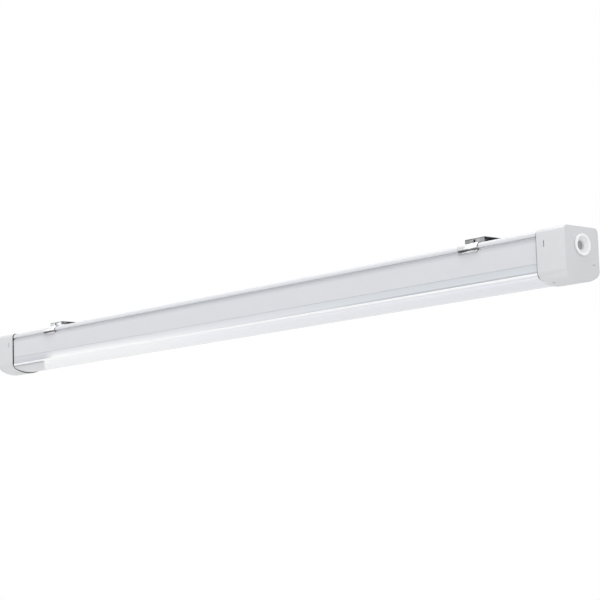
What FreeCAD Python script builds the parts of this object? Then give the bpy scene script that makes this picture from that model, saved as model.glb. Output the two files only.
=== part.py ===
import FreeCAD, Part
import Sketcher
import math
import os
import re

# A vapor-tight light: a closed tube of two bonded extrusions, with slide-on end caps and sprung clips.
# X runs along the tube, -Y is the front, and Z is up. Z 0 is the ceiling, midway between the two clips.

SIZES = {
    # Whole light
    "light_length": 1200.0,
    "clip_rise": 8.2,
    # Housing, the opaque upper extrusion
    "housing_width": 55.0,
    "tube_wall": 2.0,
    "lip_proud": 0.4,
    "lip_drop": 6.8,
    "lip_round": 5.5,
    "lip_edge_round": 0.8,
    "hollow_round_share": 0.75,
    "groove_drop": 3.0,
    "groove_depth": 2.8,
    "groove_edge_round": 0.3,
    "seam_drop": 37.8,
    "seam_notch": 0.5,
    "rail_reach": 2.6,
    "rail_thickness": 1.5,
    # Diffuser, the opal lower extrusion
    "tube_height": 60.6,
    "belly_radius": 55.0,
    "belly_corner": 5.6,
    # End caps
    "cap_length": 41.6,
    "cap_side_proud": 1.3,
    "cap_top_proud": 1.1,
    "cap_bottom_proud": 1.5,
    "cap_wall": 2.2,
    "cap_end_wall": 2.6,
    "cap_top_round": 6.0,
    "cap_belly_radius": 51.0,
    "cap_corner": 10.0,
    "cap_edge": 0.8,
    "cap_rib_thickness": 1.6,
    "cap_rib_height": 1.2,
    "cap_rib_place": 17.0,
    "window_place": 11.0,
    "window_width": 1.5,
    "window_height": 7.5,
    "window_drop": 16.6,
    "belly_window_width": 4.5,
    "belly_window_place": 14.6,
    "pry_slot_width": 5.0,
    "pry_slot_height": 1.6,
    "pry_slot_depth": 1.2,
    "pry_slot_place": 18.6,
    "pry_slot_drop": 42.0,
    # Gasket between the tube's end and the cap's rim
    "gasket_thickness": 1.6,
    # End frames, which carry the caps' catches
    "plug_depth": 10.0,
    "plug_clearance": 0.3,
    "frame_wall": 1.8,
    "frame_web": 1.8,
    "fin_place": 17.0,
    "cross_fin_rise": 15.6,
    "tongue_length": 19.0,
    "tongue_clearance": 0.3,
    "side_tongue_height": 16.0,
    "top_tongue_width": 30.0,
    "belly_tongue_width": 9.0,
    "catch_height": 0.5,
    "catch_clearance": 0.2,
    "web_port_width": 26.0,
    "web_port_height": 16.0,
    "web_port_drop": 22.0,
    # Cable grommets
    "grommet_drop": 20.1,
    "grommet_radius": 12.5,
    "grommet_proud": 2.6,
    "grommet_clearance": 0.1,
    "grommet_neck_radius": 10.6,
    "grommet_lug_reach": 1.6,
    "grommet_lug_width": 5.0,
    "grommet_lug_length": 2.0,
    "funnel_radius": 10.2,
    "funnel_depth": 4.2,
    "entry_radius": 5.25,
    "entry_length": 3.0,
    "membrane_thickness": 0.9,
    # Mounting clips
    "clip_inset": 107.2,
    "clip_length": 31.0,
    "strip_thickness": 0.6,
    "clip_gap": 0.2,
    "clip_bend": 1.1,
    "channel_width": 31.6,
    "nose_reach": 1.0,
    "nose_drop": 8.1,
    "arm_drop": 6.7,
    "tail_proud": 1.7,
    "tail_drop": 10.8,
    "screw_hole_radius": 2.25,
    "hanger_hole_radius": 1.75,
    "hanger_hole_rise": 4.6,
    # Gear tray
    "tray_drop": 33.4,
    "tray_thickness": 1.5,
    "tray_clearance": 0.15,
    "tray_end_gap": 1.0,
    "tray_rib_height": 6.0,
    "tray_rib_thickness": 1.2,
    "channel_lip": 1.2,
    "channel_reach": 1.5,
    "channel_clearance": 0.1,
    # Lamp boards and their light sources
    "board_width": 24.0,
    "board_thickness": 1.0,
    "board_joint": 0.8,
    "board_end_gap": 6.0,
    "led_length": 2.8,
    "led_width": 3.5,
    "led_height": 0.7,
    "led_margin": 10.0,
    "led_count": 25.0,
    "screw_radius": 1.25,
    "screw_hole_clearance": 0.05,
    "screw_head_width": 5.0,
    "screw_head_height": 1.6,
    "screw_line": 6.0,
    "screw_margin": 7.0,
    "plug_port": 6.0,
    "plug_length": 9.0,
    "link_length": 12.0,
    "link_width": 6.4,
    "link_height": 3.0,
    "link_edge": 0.6,
    # Driver
    "driver_gap": 56.8,
    "driver_length": 260.0,
    "driver_width": 34.0,
    "driver_height": 21.0,
    "driver_sheet": 0.8,
    "driver_clearance": 0.3,
    "driver_foot": 9.0,
    "lid_flange": 5.0,
    "circuit_rise": 3.0,
    "circuit_thickness": 1.6,
    "circuit_clearance": 1.0,
    "post_width": 3.6,
    "post_margin": 8.0,
    "transformer_length": 24.0,
    "transformer_width": 20.0,
    "transformer_height": 11.0,
    "capacitor_radius": 5.0,
    "capacitor_length": 20.0,
    "capacitor_place": 74.0,
    "choke_radius": 5.6,
    "choke_height": 9.0,
    "choke_place": 96.0,
    # Terminal block and wires
    "terminal_length": 23.0,
    "terminal_width": 27.0,
    "terminal_height": 15.0,
    "terminal_end_gap": 6.0,
    "terminal_edge": 0.8,
    "pole_pitch": 8.0,
    "pole_count": 3.0,
    "pole_width": 3.2,
    "pole_depth": 9.0,
    "pole_rise": 5.0,
    "release_length": 4.0,
    "release_width": 2.4,
    "release_depth": 3.0,
    "release_place": 6.5,
    "wire_radius": 1.1,
    "wire_pitch": 3.2,
    "wire_rise": 9.0,
    "wire_bend": 7.0,
    "wire_tail": 5.0,
    "wire_port_side": 10.0,
    # Reach of a cut past what it cuts
    "overrun": 2.0,
}

doc = FreeCAD.newDocument("vapor_tight_light")
sheet = doc.addObject("Spreadsheet::Sheet", "sizes")
for row, (alias, size) in enumerate(SIZES.items(), start=1):
    sheet.set(f"A{row}", str(size))
    sheet.setAlias(f"A{row}", alias)
doc.recompute()

# How close two places count as the same
HAIR = 1e-4

pieces = []


def linked(text):
    """The expression in text, with each named size pointed at the sheet."""
    return re.sub(r"[a-z_]+", lambda found: f"sizes.{found[0]}" if found[0] in SIZES else found[0], text)


def value(text):
    """What the expression in text is worth now."""
    return float(sheet.evalExpression(linked(text)))


def bind(thing, name, text):
    """Ties one property of a thing to the sheet."""
    thing.setExpression(name, linked(text))


def new_piece(label, turned=False):
    """A body whose Z 0 is the top of the housing; turned ones face the other end of the light."""
    body = doc.addObject("PartDesign::Body", label)
    body.Label = label
    turn = FreeCAD.Rotation(FreeCAD.Vector(0, 0, 1), 180 if turned else 0)
    body.Placement = FreeCAD.Placement(FreeCAD.Vector(), turn)
    bind(body, "Placement.Base.z", "-clip_rise")
    pieces.append(body)
    return body


def new_sketch(body, name, role, away="0"):
    """A sketch on one of the body's own origin planes, moved along that plane's normal."""
    sketch = body.newObject("Sketcher::SketchObject", name)
    plane = next(feature for feature in body.Origin.OriginFeatures if feature.Role == role)
    sketch.AttachmentSupport = [(plane, "")]
    sketch.MapMode = "FlatFace"
    if away != "0":
        bind(sketch, "AttachmentOffset.Base.z", away)
    return sketch


def pin(sketch, item, end, across, up):
    """Holds one end of an item at a place given by two expressions."""
    for kind, axis, text in (("DistanceX", -2, across), ("DistanceY", -1, up)):
        if text == "0":
            sketch.addConstraint(Sketcher.Constraint("PointOnObject", item, end, axis))
        else:
            held = sketch.addConstraint(Sketcher.Constraint(kind, -1, 1, item, end, value(text)))
            bind(sketch, f"Constraints[{held}]", text)


def set_radius(sketch, item, text):
    """Ties an arc's or a circle's radius to the sheet."""
    held = sketch.addConstraint(Sketcher.Constraint("Radius", item, value(text)))
    bind(sketch, f"Constraints[{held}]", text)


def arc_between(start, end, centre):
    """An arc about a centre, and whether it runs backwards from end to start."""
    radius = (start - centre).Length
    turning = (start - centre).cross(end - centre).z
    first, last = (start, end) if turning > 0 else (end, start)
    angles = [math.atan2((point - centre).y, (point - centre).x) for point in (first, last)]
    circle = Part.Circle(centre, FreeCAD.Vector(0, 0, 1), radius)
    return Part.ArcOfCircle(circle, *angles), turning <= 0


def outline(sketch, corners, closed=True):
    """Draws lines and arcs through corners, each held by expressions.

    A corner is (across, up), with a third expression for its rounding, or with three for an arc
    that arrives there: its radius and its centre's place.
    """
    points = [FreeCAD.Vector(value(corner[0]), value(corner[1]), 0) for corner in corners]
    count = len(corners)
    leave, arrive, rounds = {}, {}, {}
    for i, corner in enumerate(corners):
        leave[i] = arrive[i] = points[i]
        if len(corner) == 3:
            back = (points[i - 1] - points[i]).normalize()
            ahead = (points[(i + 1) % count] - points[i]).normalize()
            half_angle = back.getAngle(ahead) / 2
            radius = value(corner[2])
            arrive[i] = points[i] + back * (radius / math.tan(half_angle))
            leave[i] = points[i] + ahead * (radius / math.tan(half_angle))
            centre = points[i] + (back + ahead).normalize() * (radius / math.sin(half_angle))
            rounds[i] = arc_between(arrive[i], leave[i], centre)
    runs = {}
    for i in range(count if closed else count - 1):
        after = (i + 1) % count
        corner = corners[after]
        if len(corner) == 5:
            centre = FreeCAD.Vector(value(corner[3]), value(corner[4]), 0)
            shape, backwards = arc_between(leave[i], arrive[after], centre)
        else:
            shape, backwards = Part.LineSegment(leave[i], arrive[after]), False
        item = sketch.addGeometry(shape, False)
        runs[i] = (item, 2, 1) if backwards else (item, 1, 2)
    for i, corner in enumerate(corners):
        inward = runs.get((i - 1) % count) if closed or i > 0 else None
        outward = runs.get(i)
        if i in rounds:
            shape, backwards = rounds[i]
            item = sketch.addGeometry(shape, False)
            first, last = (2, 1) if backwards else (1, 2)
            sketch.addConstraint(Sketcher.Constraint("Tangent", inward[0], inward[2], item, first))
            sketch.addConstraint(Sketcher.Constraint("Tangent", item, last, outward[0], outward[1]))
            set_radius(sketch, item, corner[2])
            mark = sketch.addGeometry(Part.Point(points[i]), True)
            pin(sketch, mark, 1, corner[0], corner[1])
            sketch.addConstraint(Sketcher.Constraint("PointOnObject", mark, 1, inward[0]))
            sketch.addConstraint(Sketcher.Constraint("PointOnObject", mark, 1, outward[0]))
            continue
        if inward and outward:
            joined = Sketcher.Constraint("Coincident", inward[0], inward[2], outward[0], outward[1])
            sketch.addConstraint(joined)
        item, end = (outward[0], outward[1]) if outward else (inward[0], inward[2])
        pin(sketch, item, end, corner[0], corner[1])
        if len(corner) == 5:
            set_radius(sketch, inward[0], corner[2])


def box_outline(across, up, width, height):
    """The corners of a rectangle about a centre."""
    near, far = f"{across} - ({width}) / 2", f"{across} + ({width}) / 2"
    low, high = f"{up} - ({height}) / 2", f"{up} + ({height}) / 2"
    return [(near, low), (far, low), (far, high), (near, high)]


def octagon(across, up, radius):
    """The corners of an octagon about a centre, whose flats lie at a radius."""
    corner = f"({radius} * (sqrt(2) - 1))"
    ends = [(radius, corner), (corner, radius)]
    places = []
    for wide, high in (("+", "+"), ("-", "+"), ("-", "-"), ("+", "-")):
        quarter = [(f"{across} {wide} {x}", f"{up} {high} {y}") for x, y in ends]
        places += quarter if wide == high else quarter[::-1]
    return places


def hexagon(across, up, width):
    """The corners of a hexagon about a centre, with its width between flats."""
    side = f"({width} / sqrt(3))"
    return [
        (f"{across} - {side}", up),
        (f"{across} - {side} / 2", f"{up} - {width} / 2"),
        (f"{across} + {side} / 2", f"{up} - {width} / 2"),
        (f"{across} + {side}", up),
        (f"{across} + {side} / 2", f"{up} + {width} / 2"),
        (f"{across} - {side} / 2", f"{up} + {width} / 2"),
    ]


def circle(sketch, across, up, radius):
    """Draws a circle held by expressions."""
    centre = FreeCAD.Vector(value(across), value(up), 0)
    item = sketch.addGeometry(Part.Circle(centre, FreeCAD.Vector(0, 0, 1), value(radius)), False)
    pin(sketch, item, 3, across, up)
    set_radius(sketch, item, radius)


def pad(body, sketch, length, both_ways=False, backwards=False):
    """Adds the sketch's shape to the body."""
    feature = body.newObject("PartDesign::Pad", sketch.Name + "_pad")
    feature.Profile = sketch
    bind(feature, "Length", length)
    feature.Midplane = both_ways
    feature.Reversed = backwards
    doc.recompute()
    return feature


def cut(body, sketch, length, both_ways=False, backwards=False):
    """Cuts the sketch's shape out of the body, and stops the build if it cuts nothing."""
    before = body.Shape.Volume
    feature = body.newObject("PartDesign::Pocket", sketch.Name + "_cut")
    feature.Profile = sketch
    bind(feature, "Length", length)
    feature.Midplane = both_ways
    feature.Reversed = backwards
    doc.recompute()
    if not body.Shape.Volume < before:
        raise RuntimeError(f"{sketch.Name} cuts nothing from {body.Label}")
    return feature


def copies(body, features, kind, **settings):
    """Repeats features in a pattern or a mirror, which becomes the body's tip."""
    feature = body.newObject(f"PartDesign::{kind}", f"{features[0].Name}_{kind.lower()}")
    feature.Originals = features
    for name, setting in settings.items():
        setattr(feature, name, setting)
    body.Tip = feature
    return feature


def origin_of(body, role):
    """One of the body's own origin planes or axes, as a link."""
    return (next(feature for feature in body.Origin.OriginFeatures if feature.Role == role), [""])


def row_of(body, features, length, count, role="X_Axis", backwards=False):
    """Repeats features in a row along an axis of the body."""
    feature = copies(body, features, "LinearPattern", Direction=origin_of(body, role), Reversed=backwards)
    bind(feature, "Length", length)
    bind(feature, "Occurrences", count)
    doc.recompute()
    return feature


def mirror(body, features, role):
    """Mirrors features across one of the body's origin planes."""
    feature = copies(body, features, "Mirrored", MirrorPlane=origin_of(body, role))
    doc.recompute()
    return feature


def chamfer_edges(body, name, chosen, size):
    """Bevels the edges of the body that chosen picks."""
    bare = body.Shape.copy()
    bare.Placement = FreeCAD.Placement()
    picked = [f"Edge{i}" for i, edge in enumerate(bare.Edges, start=1) if chosen(edge)]
    base = body.Tip
    feature = body.newObject("PartDesign::Chamfer", name)
    feature.Base = (base, picked)
    bind(feature, "Size", size)
    doc.recompute()
    return feature


def lies_at(edge, axis, place):
    """Whether all of an edge lies in the plane at a place along X, Y or Z of its own body."""
    box = edge.BoundBox
    low, high = getattr(box, axis + "Min"), getattr(box, axis + "Max")
    return abs(low - place) < HAIR and abs(high - place) < HAIR


# Sections, seen along X: half widths, and heights measured from the top of the housing
SIDE = "(housing_width / 2)"
LIP = "(housing_width / 2 + lip_proud)"
GROOVE = "(housing_width / 2 + lip_proud - groove_depth)"
GROOVE_FOOT = "(lip_drop + groove_drop)"
CAP_SIDE = "(housing_width / 2 + lip_proud + cap_side_proud)"
CAP_FOOT = "(-tube_height - cap_bottom_proud)"
BORE_SIDE = "(housing_width / 2 - tube_wall)"
BORE_FOOT = "(-tube_height + tube_wall)"
BORE_RADIUS = "(belly_radius - tube_wall)"
FRAME_INSET = "(cap_wall + tongue_clearance + catch_height)"

# Stations along X, from the middle of the light
END = "(light_length / 2)"
RIM = "(light_length / 2 - cap_length)"
TUBE_END = "(light_length / 2 - cap_length - gasket_thickness)"
TRAY_END = "(light_length / 2 - cap_length - gasket_thickness - plug_depth - tray_end_gap)"


def belly_section(half, top, top_round, lowest, radius, corner):
    """A section with upright sides and a crowned bottom, from its upper left corner round to its right."""
    centre = f"({lowest} + {radius})"
    inset = f"({half} - ({corner}))"
    reach = f"({radius} - ({corner}))"
    fall = f"sqrt({reach} ^ 2 - {inset} ^ 2)"
    bend = f"({centre} - {fall})"
    across = f"({inset} * ({radius}) / {reach})"
    up = f"({centre} - {fall} * ({radius}) / {reach})"
    tops = [(f"-{half}", top), (half, top)]
    if top_round:
        tops = [(*place, top_round) for place in tops]
    return [
        tops[0],
        (f"-{half}", bend),
        (f"-{across}", up, corner, f"-{inset}", bend),
        (across, up, radius, "0", centre),
        (half, bend, corner, inset, bend),
        tops[1],
    ]


def cap_section(inset):
    """The end cap's outline, drawn in by an inset on all sides."""
    return belly_section(
        f"({CAP_SIDE} - {inset})", f"(cap_top_proud - {inset})", f"(cap_top_round - {inset})",
        f"({CAP_FOOT} + {inset})", f"(cap_belly_radius - {inset})", f"(cap_corner - {inset})",
    )


def belly_height(across, radius, lowest):
    """How high a crowned bottom stands at a distance from its middle."""
    return f"({lowest} + {radius} - sqrt({radius} ^ 2 - {across} ^ 2))"


def left(side):
    """One side's corners, moved to the left."""
    return [(f"-({corner[0]})", *corner[1:]) for corner in side]


# Housing: opaque polycarbonate extrusion with a clip groove under each top edge and rails for the tray
housing = new_piece("housing")
outer = [
    (SIDE, "-seam_drop"),
    (SIDE, f"-{GROOVE_FOOT}", "groove_edge_round"),
    (GROOVE, f"-{GROOVE_FOOT}"),
    (GROOVE, "-lip_drop"),
    (LIP, "-lip_drop", "lip_edge_round"),
    (LIP, "0", "lip_round"),
]
RAIL_EDGE = "(housing_width / 2 - tube_wall - rail_reach)"
LOW_RAIL = "(tray_drop + tray_thickness + tray_clearance)"
HIGH_RAIL = "(tray_drop - tray_clearance)"
inner = [
    (BORE_SIDE, "-seam_drop"),
    (BORE_SIDE, f"-({LOW_RAIL} + rail_thickness)"),
    (RAIL_EDGE, f"-({LOW_RAIL} + rail_thickness)"),
    (RAIL_EDGE, f"-{LOW_RAIL}"),
    (BORE_SIDE, f"-{LOW_RAIL}"),
    (BORE_SIDE, f"-{HIGH_RAIL}"),
    (RAIL_EDGE, f"-{HIGH_RAIL}"),
    (RAIL_EDGE, f"-({HIGH_RAIL} - rail_thickness)"),
    (BORE_SIDE, f"-({HIGH_RAIL} - rail_thickness)"),
    (BORE_SIDE, f"-({GROOVE_FOOT} + tube_wall)"),
    (f"({GROOVE} - tube_wall)", f"-({GROOVE_FOOT} + tube_wall)"),
    (f"({GROOVE} - tube_wall)", "-(lip_drop - tube_wall)"),
    (f"({LIP} - tube_wall)", "-(lip_drop - tube_wall)"),
    (f"({LIP} - tube_wall)", "-tube_wall", "((lip_drop - 2 * tube_wall) * hollow_round_share)"),
]
section = new_sketch(housing, "housing_section", "YZ_Plane")
outline(section, left(outer) + outer[::-1] + inner + left(inner)[::-1])
pad(housing, section, f"2 * {TUBE_END}", both_ways=True)

# Diffuser: opal extrusion bonded to the housing's lower edges
diffuser = new_piece("diffuser")
section = new_sketch(diffuser, "diffuser_section", "YZ_Plane")
walls = belly_section(SIDE, "-seam_drop", None, "-tube_height", "belly_radius", "belly_corner")
notched = [
    (f"-({SIDE} - seam_notch)", "-seam_drop"),
    (f"-{SIDE}", "-(seam_drop + seam_notch)"),
    *walls[1:-1],
    (SIDE, "-(seam_drop + seam_notch)"),
    (f"({SIDE} - seam_notch)", "-seam_drop"),
]
outline(section, notched)
pad(diffuser, section, f"2 * {TUBE_END}", both_ways=True)
section = new_sketch(diffuser, "diffuser_hollow", "YZ_Plane")
outline(section, belly_section(
    BORE_SIDE, "-seam_drop", None, BORE_FOOT, BORE_RADIUS, "(belly_corner - tube_wall)",
))
cut(diffuser, section, f"2 * {TUBE_END} + overrun", both_ways=True)


def end_cap(label, turned):
    """Moulded cap: a shell with catch windows, a grommet seat and ribs on its end wall."""
    cap = new_piece(label, turned)
    section = new_sketch(cap, label + "_outline", "YZ_Plane", RIM)
    outline(section, cap_section("0"))
    pad(cap, section, "cap_length")
    chamfer_edges(cap, label + "_edge", lambda edge: lies_at(edge, "X", value(END)), "cap_edge")
    section = new_sketch(cap, label + "_hollow", "YZ_Plane", RIM)
    outline(section, cap_section("cap_wall"))
    cut(cap, section, "cap_length - cap_end_wall", backwards=True)
    rib = new_sketch(cap, label + "_rib", "YZ_Plane", f"{END} - cap_end_wall - cap_rib_height")
    rib_height = "(tube_height - 2 * cap_wall)"
    outline(rib, box_outline("cap_rib_place", "-tube_height / 2", "cap_rib_thickness", rib_height))
    ribs = pad(cap, rib, "cap_rib_height")
    mirror(cap, [ribs], "XZ_Plane")
    hole = new_sketch(cap, label + "_grommet_seat", "YZ_Plane", f"{END} + overrun")
    circle(hole, "0", "-grommet_drop", "grommet_neck_radius + grommet_clearance")
    cut(cap, hole, "cap_end_wall + 2 * overrun")
    window = new_sketch(cap, label + "_windows", "XZ_Plane")
    outline(window, box_outline(f"{RIM} + window_place", "-window_drop", "window_width", "window_height"))
    cut(cap, window, f"2 * ({CAP_SIDE} + overrun)", both_ways=True)
    slot = new_sketch(cap, label + "_belly_window", "XY_Plane", "-tube_height / 2")
    outline(slot, box_outline(
        f"{RIM} + window_place", "belly_window_place", "window_width", "belly_window_width",
    ))
    slots = cut(cap, slot, "tube_height")
    mirror(cap, [slots], "XZ_Plane")
    pry = new_sketch(cap, label + "_pry_slot", "YZ_Plane", END)
    outline(pry, box_outline("pry_slot_place", "-pry_slot_drop", "pry_slot_width", "pry_slot_height"))
    cut(cap, pry, "pry_slot_depth")


def cap_gasket(label, turned):
    """Flat rubber ring between the tube's end and the cap's rim, flush with the tube's lips."""
    gasket = new_piece(label, turned)
    section = new_sketch(gasket, label + "_outline", "YZ_Plane", TUBE_END)
    outline(section, cap_section("cap_side_proud"))
    pad(gasket, section, "gasket_thickness")
    section = new_sketch(gasket, label + "_hole", "YZ_Plane", TUBE_END)
    outline(section, cap_section(f"({FRAME_INSET} - tongue_clearance)"))
    cut(gasket, section, "2 * gasket_thickness", both_ways=True)


def end_frame(label, turned):
    """Moulded frame fixed in the tube's end: fins in the bore, a web, and tongues with the cap's catches."""
    frame = new_piece(label, turned)
    web = new_sketch(frame, label + "_web", "YZ_Plane", TUBE_END)
    outline(web, cap_section(FRAME_INSET))
    pad(frame, web, "frame_web")
    port = new_sketch(frame, label + "_wire_port", "YZ_Plane", TUBE_END)
    outline(port, box_outline("0", "-web_port_drop", "web_port_width", "web_port_height"))
    cut(frame, port, "2 * frame_web + overrun", both_ways=True)

    # Two upright fins locate the frame in the bore, and a level one between the rails stiffens them
    bore_floor = belly_height("(fin_place + frame_wall / 2)", BORE_RADIUS, BORE_FOOT)
    fin = new_sketch(frame, label + "_fin", "YZ_Plane", TUBE_END)
    outline(fin, [
        ("fin_place - frame_wall / 2", f"{bore_floor} + plug_clearance"),
        ("fin_place + frame_wall / 2", f"{bore_floor} + plug_clearance"),
        ("fin_place + frame_wall / 2", "-(tube_wall + plug_clearance)"),
        ("fin_place - frame_wall / 2", "-(tube_wall + plug_clearance)"),
    ])
    fins = pad(frame, fin, "plug_depth", backwards=True)
    mirror(frame, [fins], "XZ_Plane")
    cross = new_sketch(frame, label + "_cross_fin", "YZ_Plane", TUBE_END)
    cross_width = f"2 * ({RAIL_EDGE} - plug_clearance)"
    outline(cross, box_outline("0", "-(tube_height - cross_fin_rise)", cross_width, "frame_wall"))
    pad(frame, cross, "plug_depth", backwards=True)

    # The tongues lie just inside the cap's walls, and the side ones carry the catches
    reach = "(gasket_thickness + tongue_length)"
    side = f"({CAP_SIDE} - {FRAME_INSET})"
    tongue = new_sketch(frame, label + "_side_tongue", "YZ_Plane", TUBE_END)
    outline(tongue, box_outline(
        f"({side} - frame_wall / 2)", "-window_drop", "frame_wall", "side_tongue_height",
    ))
    tongues = pad(frame, tongue, reach)
    mirror(frame, [tongues], "XZ_Plane")
    tongue = new_sketch(frame, label + "_top_tongue", "YZ_Plane", TUBE_END)
    roof = f"(cap_top_proud - {FRAME_INSET} - frame_wall / 2)"
    outline(tongue, box_outline("0", roof, "top_tongue_width", "frame_wall"))
    pad(frame, tongue, reach)
    floor = belly_height(
        "(belly_window_place + belly_tongue_width / 2)", f"(cap_belly_radius - {FRAME_INSET})",
        f"({CAP_FOOT} + {FRAME_INSET})",
    )
    tongue = new_sketch(frame, label + "_belly_tongue", "YZ_Plane", TUBE_END)
    outline(tongue, box_outline(
        "belly_window_place", f"({floor} + frame_wall / 2)", "belly_tongue_width", "frame_wall",
    ))
    tongues = pad(frame, tongue, reach)
    mirror(frame, [tongues], "XZ_Plane")
    window_foot = "(window_drop + window_height / 2)"
    catch = new_sketch(frame, label + "_catch", "XY_Plane", f"-({window_foot} - catch_clearance)")
    back = f"({RIM} + window_place - window_width / 2 + catch_clearance)"
    front = f"({RIM} + window_place + window_width / 2 + catch_clearance)"
    outline(catch, [
        (back, f"{side} - catch_height"),
        (f"{front} + catch_height", f"{side} - catch_height"),
        (f"{front} + catch_height", side),
        (front, f"{side} + catch_height"),
        (back, f"{side} + catch_height"),
    ])
    catches = pad(frame, catch, "window_height - 2 * catch_clearance")
    mirror(frame, [catches], "XZ_Plane")


def cable_grommet(label, turned):
    """White grommet: a dished flange outside the cap, snap lugs inside it, and a thin floor to pierce."""
    grommet = new_piece(label, turned)
    profile = new_sketch(grommet, label + "_profile", "XZ_Plane")
    seat = f"({END} - cap_end_wall - grommet_clearance)"
    face = f"({END} + grommet_proud)"
    floor = f"({face} - funnel_depth - entry_length)"
    tip = f"({floor} - membrane_thickness)"

    def place(along, radius):
        return (along, f"{radius} - grommet_drop")

    outline(profile, [
        (tip, "-grommet_drop"),
        (floor, "-grommet_drop"),
        place(floor, "entry_radius"),
        place(f"{face} - funnel_depth", "entry_radius"),
        place(face, "funnel_radius"),
        place(face, "grommet_radius"),
        place(END, "grommet_radius"),
        place(END, "grommet_neck_radius"),
        place(tip, "grommet_neck_radius"),
    ])
    turn = grommet.newObject("PartDesign::Revolution", label + "_turned")
    turn.Profile = profile
    axis = new_sketch(grommet, label + "_axis", "XZ_Plane")
    line = axis.addGeometry(Part.LineSegment(FreeCAD.Vector(0, value("-grommet_drop"), 0),
                                             FreeCAD.Vector(value(END), value("-grommet_drop"), 0)), False)
    pin(axis, line, 1, "0", "-grommet_drop")
    pin(axis, line, 2, END, "-grommet_drop")
    turn.ReferenceAxis = (axis, ["Edge1"])
    turn.Angle = 360
    doc.recompute()
    lug_middle = "(grommet_neck_radius - grommet_lug_reach / 2)"
    for name, across, up in (("side", lug_middle, "0"), ("upright", "0", lug_middle)):
        lugs = new_sketch(grommet, f"{label}_{name}_lugs", "YZ_Plane", seat)
        size = ("2 * grommet_lug_reach", "grommet_lug_width")
        if name == "upright":
            size = size[::-1]
        outline(lugs, box_outline(across, f"{up} - grommet_drop", *size))
        outline(lugs, box_outline(f"-{across}", f"-{up} - grommet_drop", *size))
        pad(grommet, lugs, "grommet_lug_length", backwards=True)


def mounting_clip(label, side):
    """Spring-steel clip: a strip bent into a channel on top, arms over the lips, and noses in the grooves."""
    clip = new_piece(label)
    bind(clip, "Placement.Base.x", f"{side} * ({RIM} - clip_inset)")
    middle = "(clip_gap + strip_thickness / 2)"
    top = "(clip_rise - strip_thickness / 2)"
    flange = "-(channel_width / 2 - strip_thickness / 2)"
    arm = f"-({LIP} + {middle})"
    path = new_sketch(clip, label + "_path", "YZ_Plane")
    outline(path, [
        ("0", top),
        (flange, top, "clip_bend"),
        (flange, middle, "clip_bend"),
        (arm, middle, f"(lip_round + {middle})"),
        (arm, "-arm_drop"),
        (f"-({LIP} - nose_reach)", "-nose_drop"),
        (f"-({LIP} + tail_proud)", "-tail_drop"),
    ], closed=False)
    strip = new_sketch(clip, label + "_strip", "XZ_Plane")
    outline(strip, box_outline("0", top, "clip_length", "strip_thickness"))
    sweep = clip.newObject("PartDesign::AdditivePipe", label + "_bent")
    sweep.Profile = strip
    sweep.Spine = (path, [f"Edge{i}" for i in range(1, len(path.Shape.Edges) + 1)])
    sweep.Transition = "Right corner"
    doc.recompute()
    mirror(clip, [sweep], "XZ_Plane")
    hole = new_sketch(clip, label + "_screw_hole", "XY_Plane", "clip_rise + overrun")
    circle(hole, "0", "0", "screw_hole_radius")
    cut(clip, hole, "clip_rise / 2 + overrun")
    hanger = new_sketch(clip, label + "_hanger_hole", "XZ_Plane")
    circle(hanger, "0", "hanger_hole_rise", "hanger_hole_radius")
    cut(clip, hanger, "channel_width + overrun", both_ways=True)


SIDES = (("right", False), ("left", True))
for side, turned in SIDES:
    end_frame("end_frame_" + side, turned)
    cap_gasket("cap_gasket_" + side, turned)
    end_cap("end_cap_" + side, turned)
    cable_grommet("cable_grommet_" + side, turned)
    mounting_clip("mounting_clip_" + side, -1 if turned else 1)


# The parts inside are held by the gear tray, whose stations run along X as above
TRAY_SIDE = "(housing_width / 2 - tube_wall - 2 * tray_clearance)"
TRAY_RIB = "(driver_width / 2 + driver_clearance)"
TRAY_FOOT = "(tray_drop + tray_thickness)"
LAMP_FACE = "(tray_drop + tray_thickness + board_thickness)"
CHANNEL = "(board_width / 2 + channel_clearance)"
CHANNEL_LEDGE = f"({LAMP_FACE} + channel_clearance)"
BOARD_START = "(board_joint / 2)"
BOARD_END = f"({TRAY_END} - board_end_gap)"
BOARD_SCREW = f"({BOARD_END} - screw_margin)"
SCREW_HOLE = "(screw_radius + screw_hole_clearance)"
LED_START = f"({BOARD_START} + led_margin)"
LED_RUN = f"({BOARD_SCREW} - screw_margin - {LED_START})"
PLUG_PLACE = f"({LED_START} + {LED_RUN} / (led_count - 1) / 2)"
BLOCK_END = f"({TRAY_END} - terminal_end_gap)"
DRIVER_END = f"({BLOCK_END} - terminal_length - driver_gap)"
DRIVER_START = f"({DRIVER_END} - driver_length)"
DRIVER_PLACE = f"({DRIVER_END} - driver_length / 2)"
DRIVER_FEET = (f"({DRIVER_START} - driver_foot / 2)", f"({DRIVER_END} + driver_foot / 2)")
CASE_TOP = "(driver_height - driver_sheet - tray_drop)"
WIRE_LINE = "(wire_rise - tray_drop)"

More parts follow.
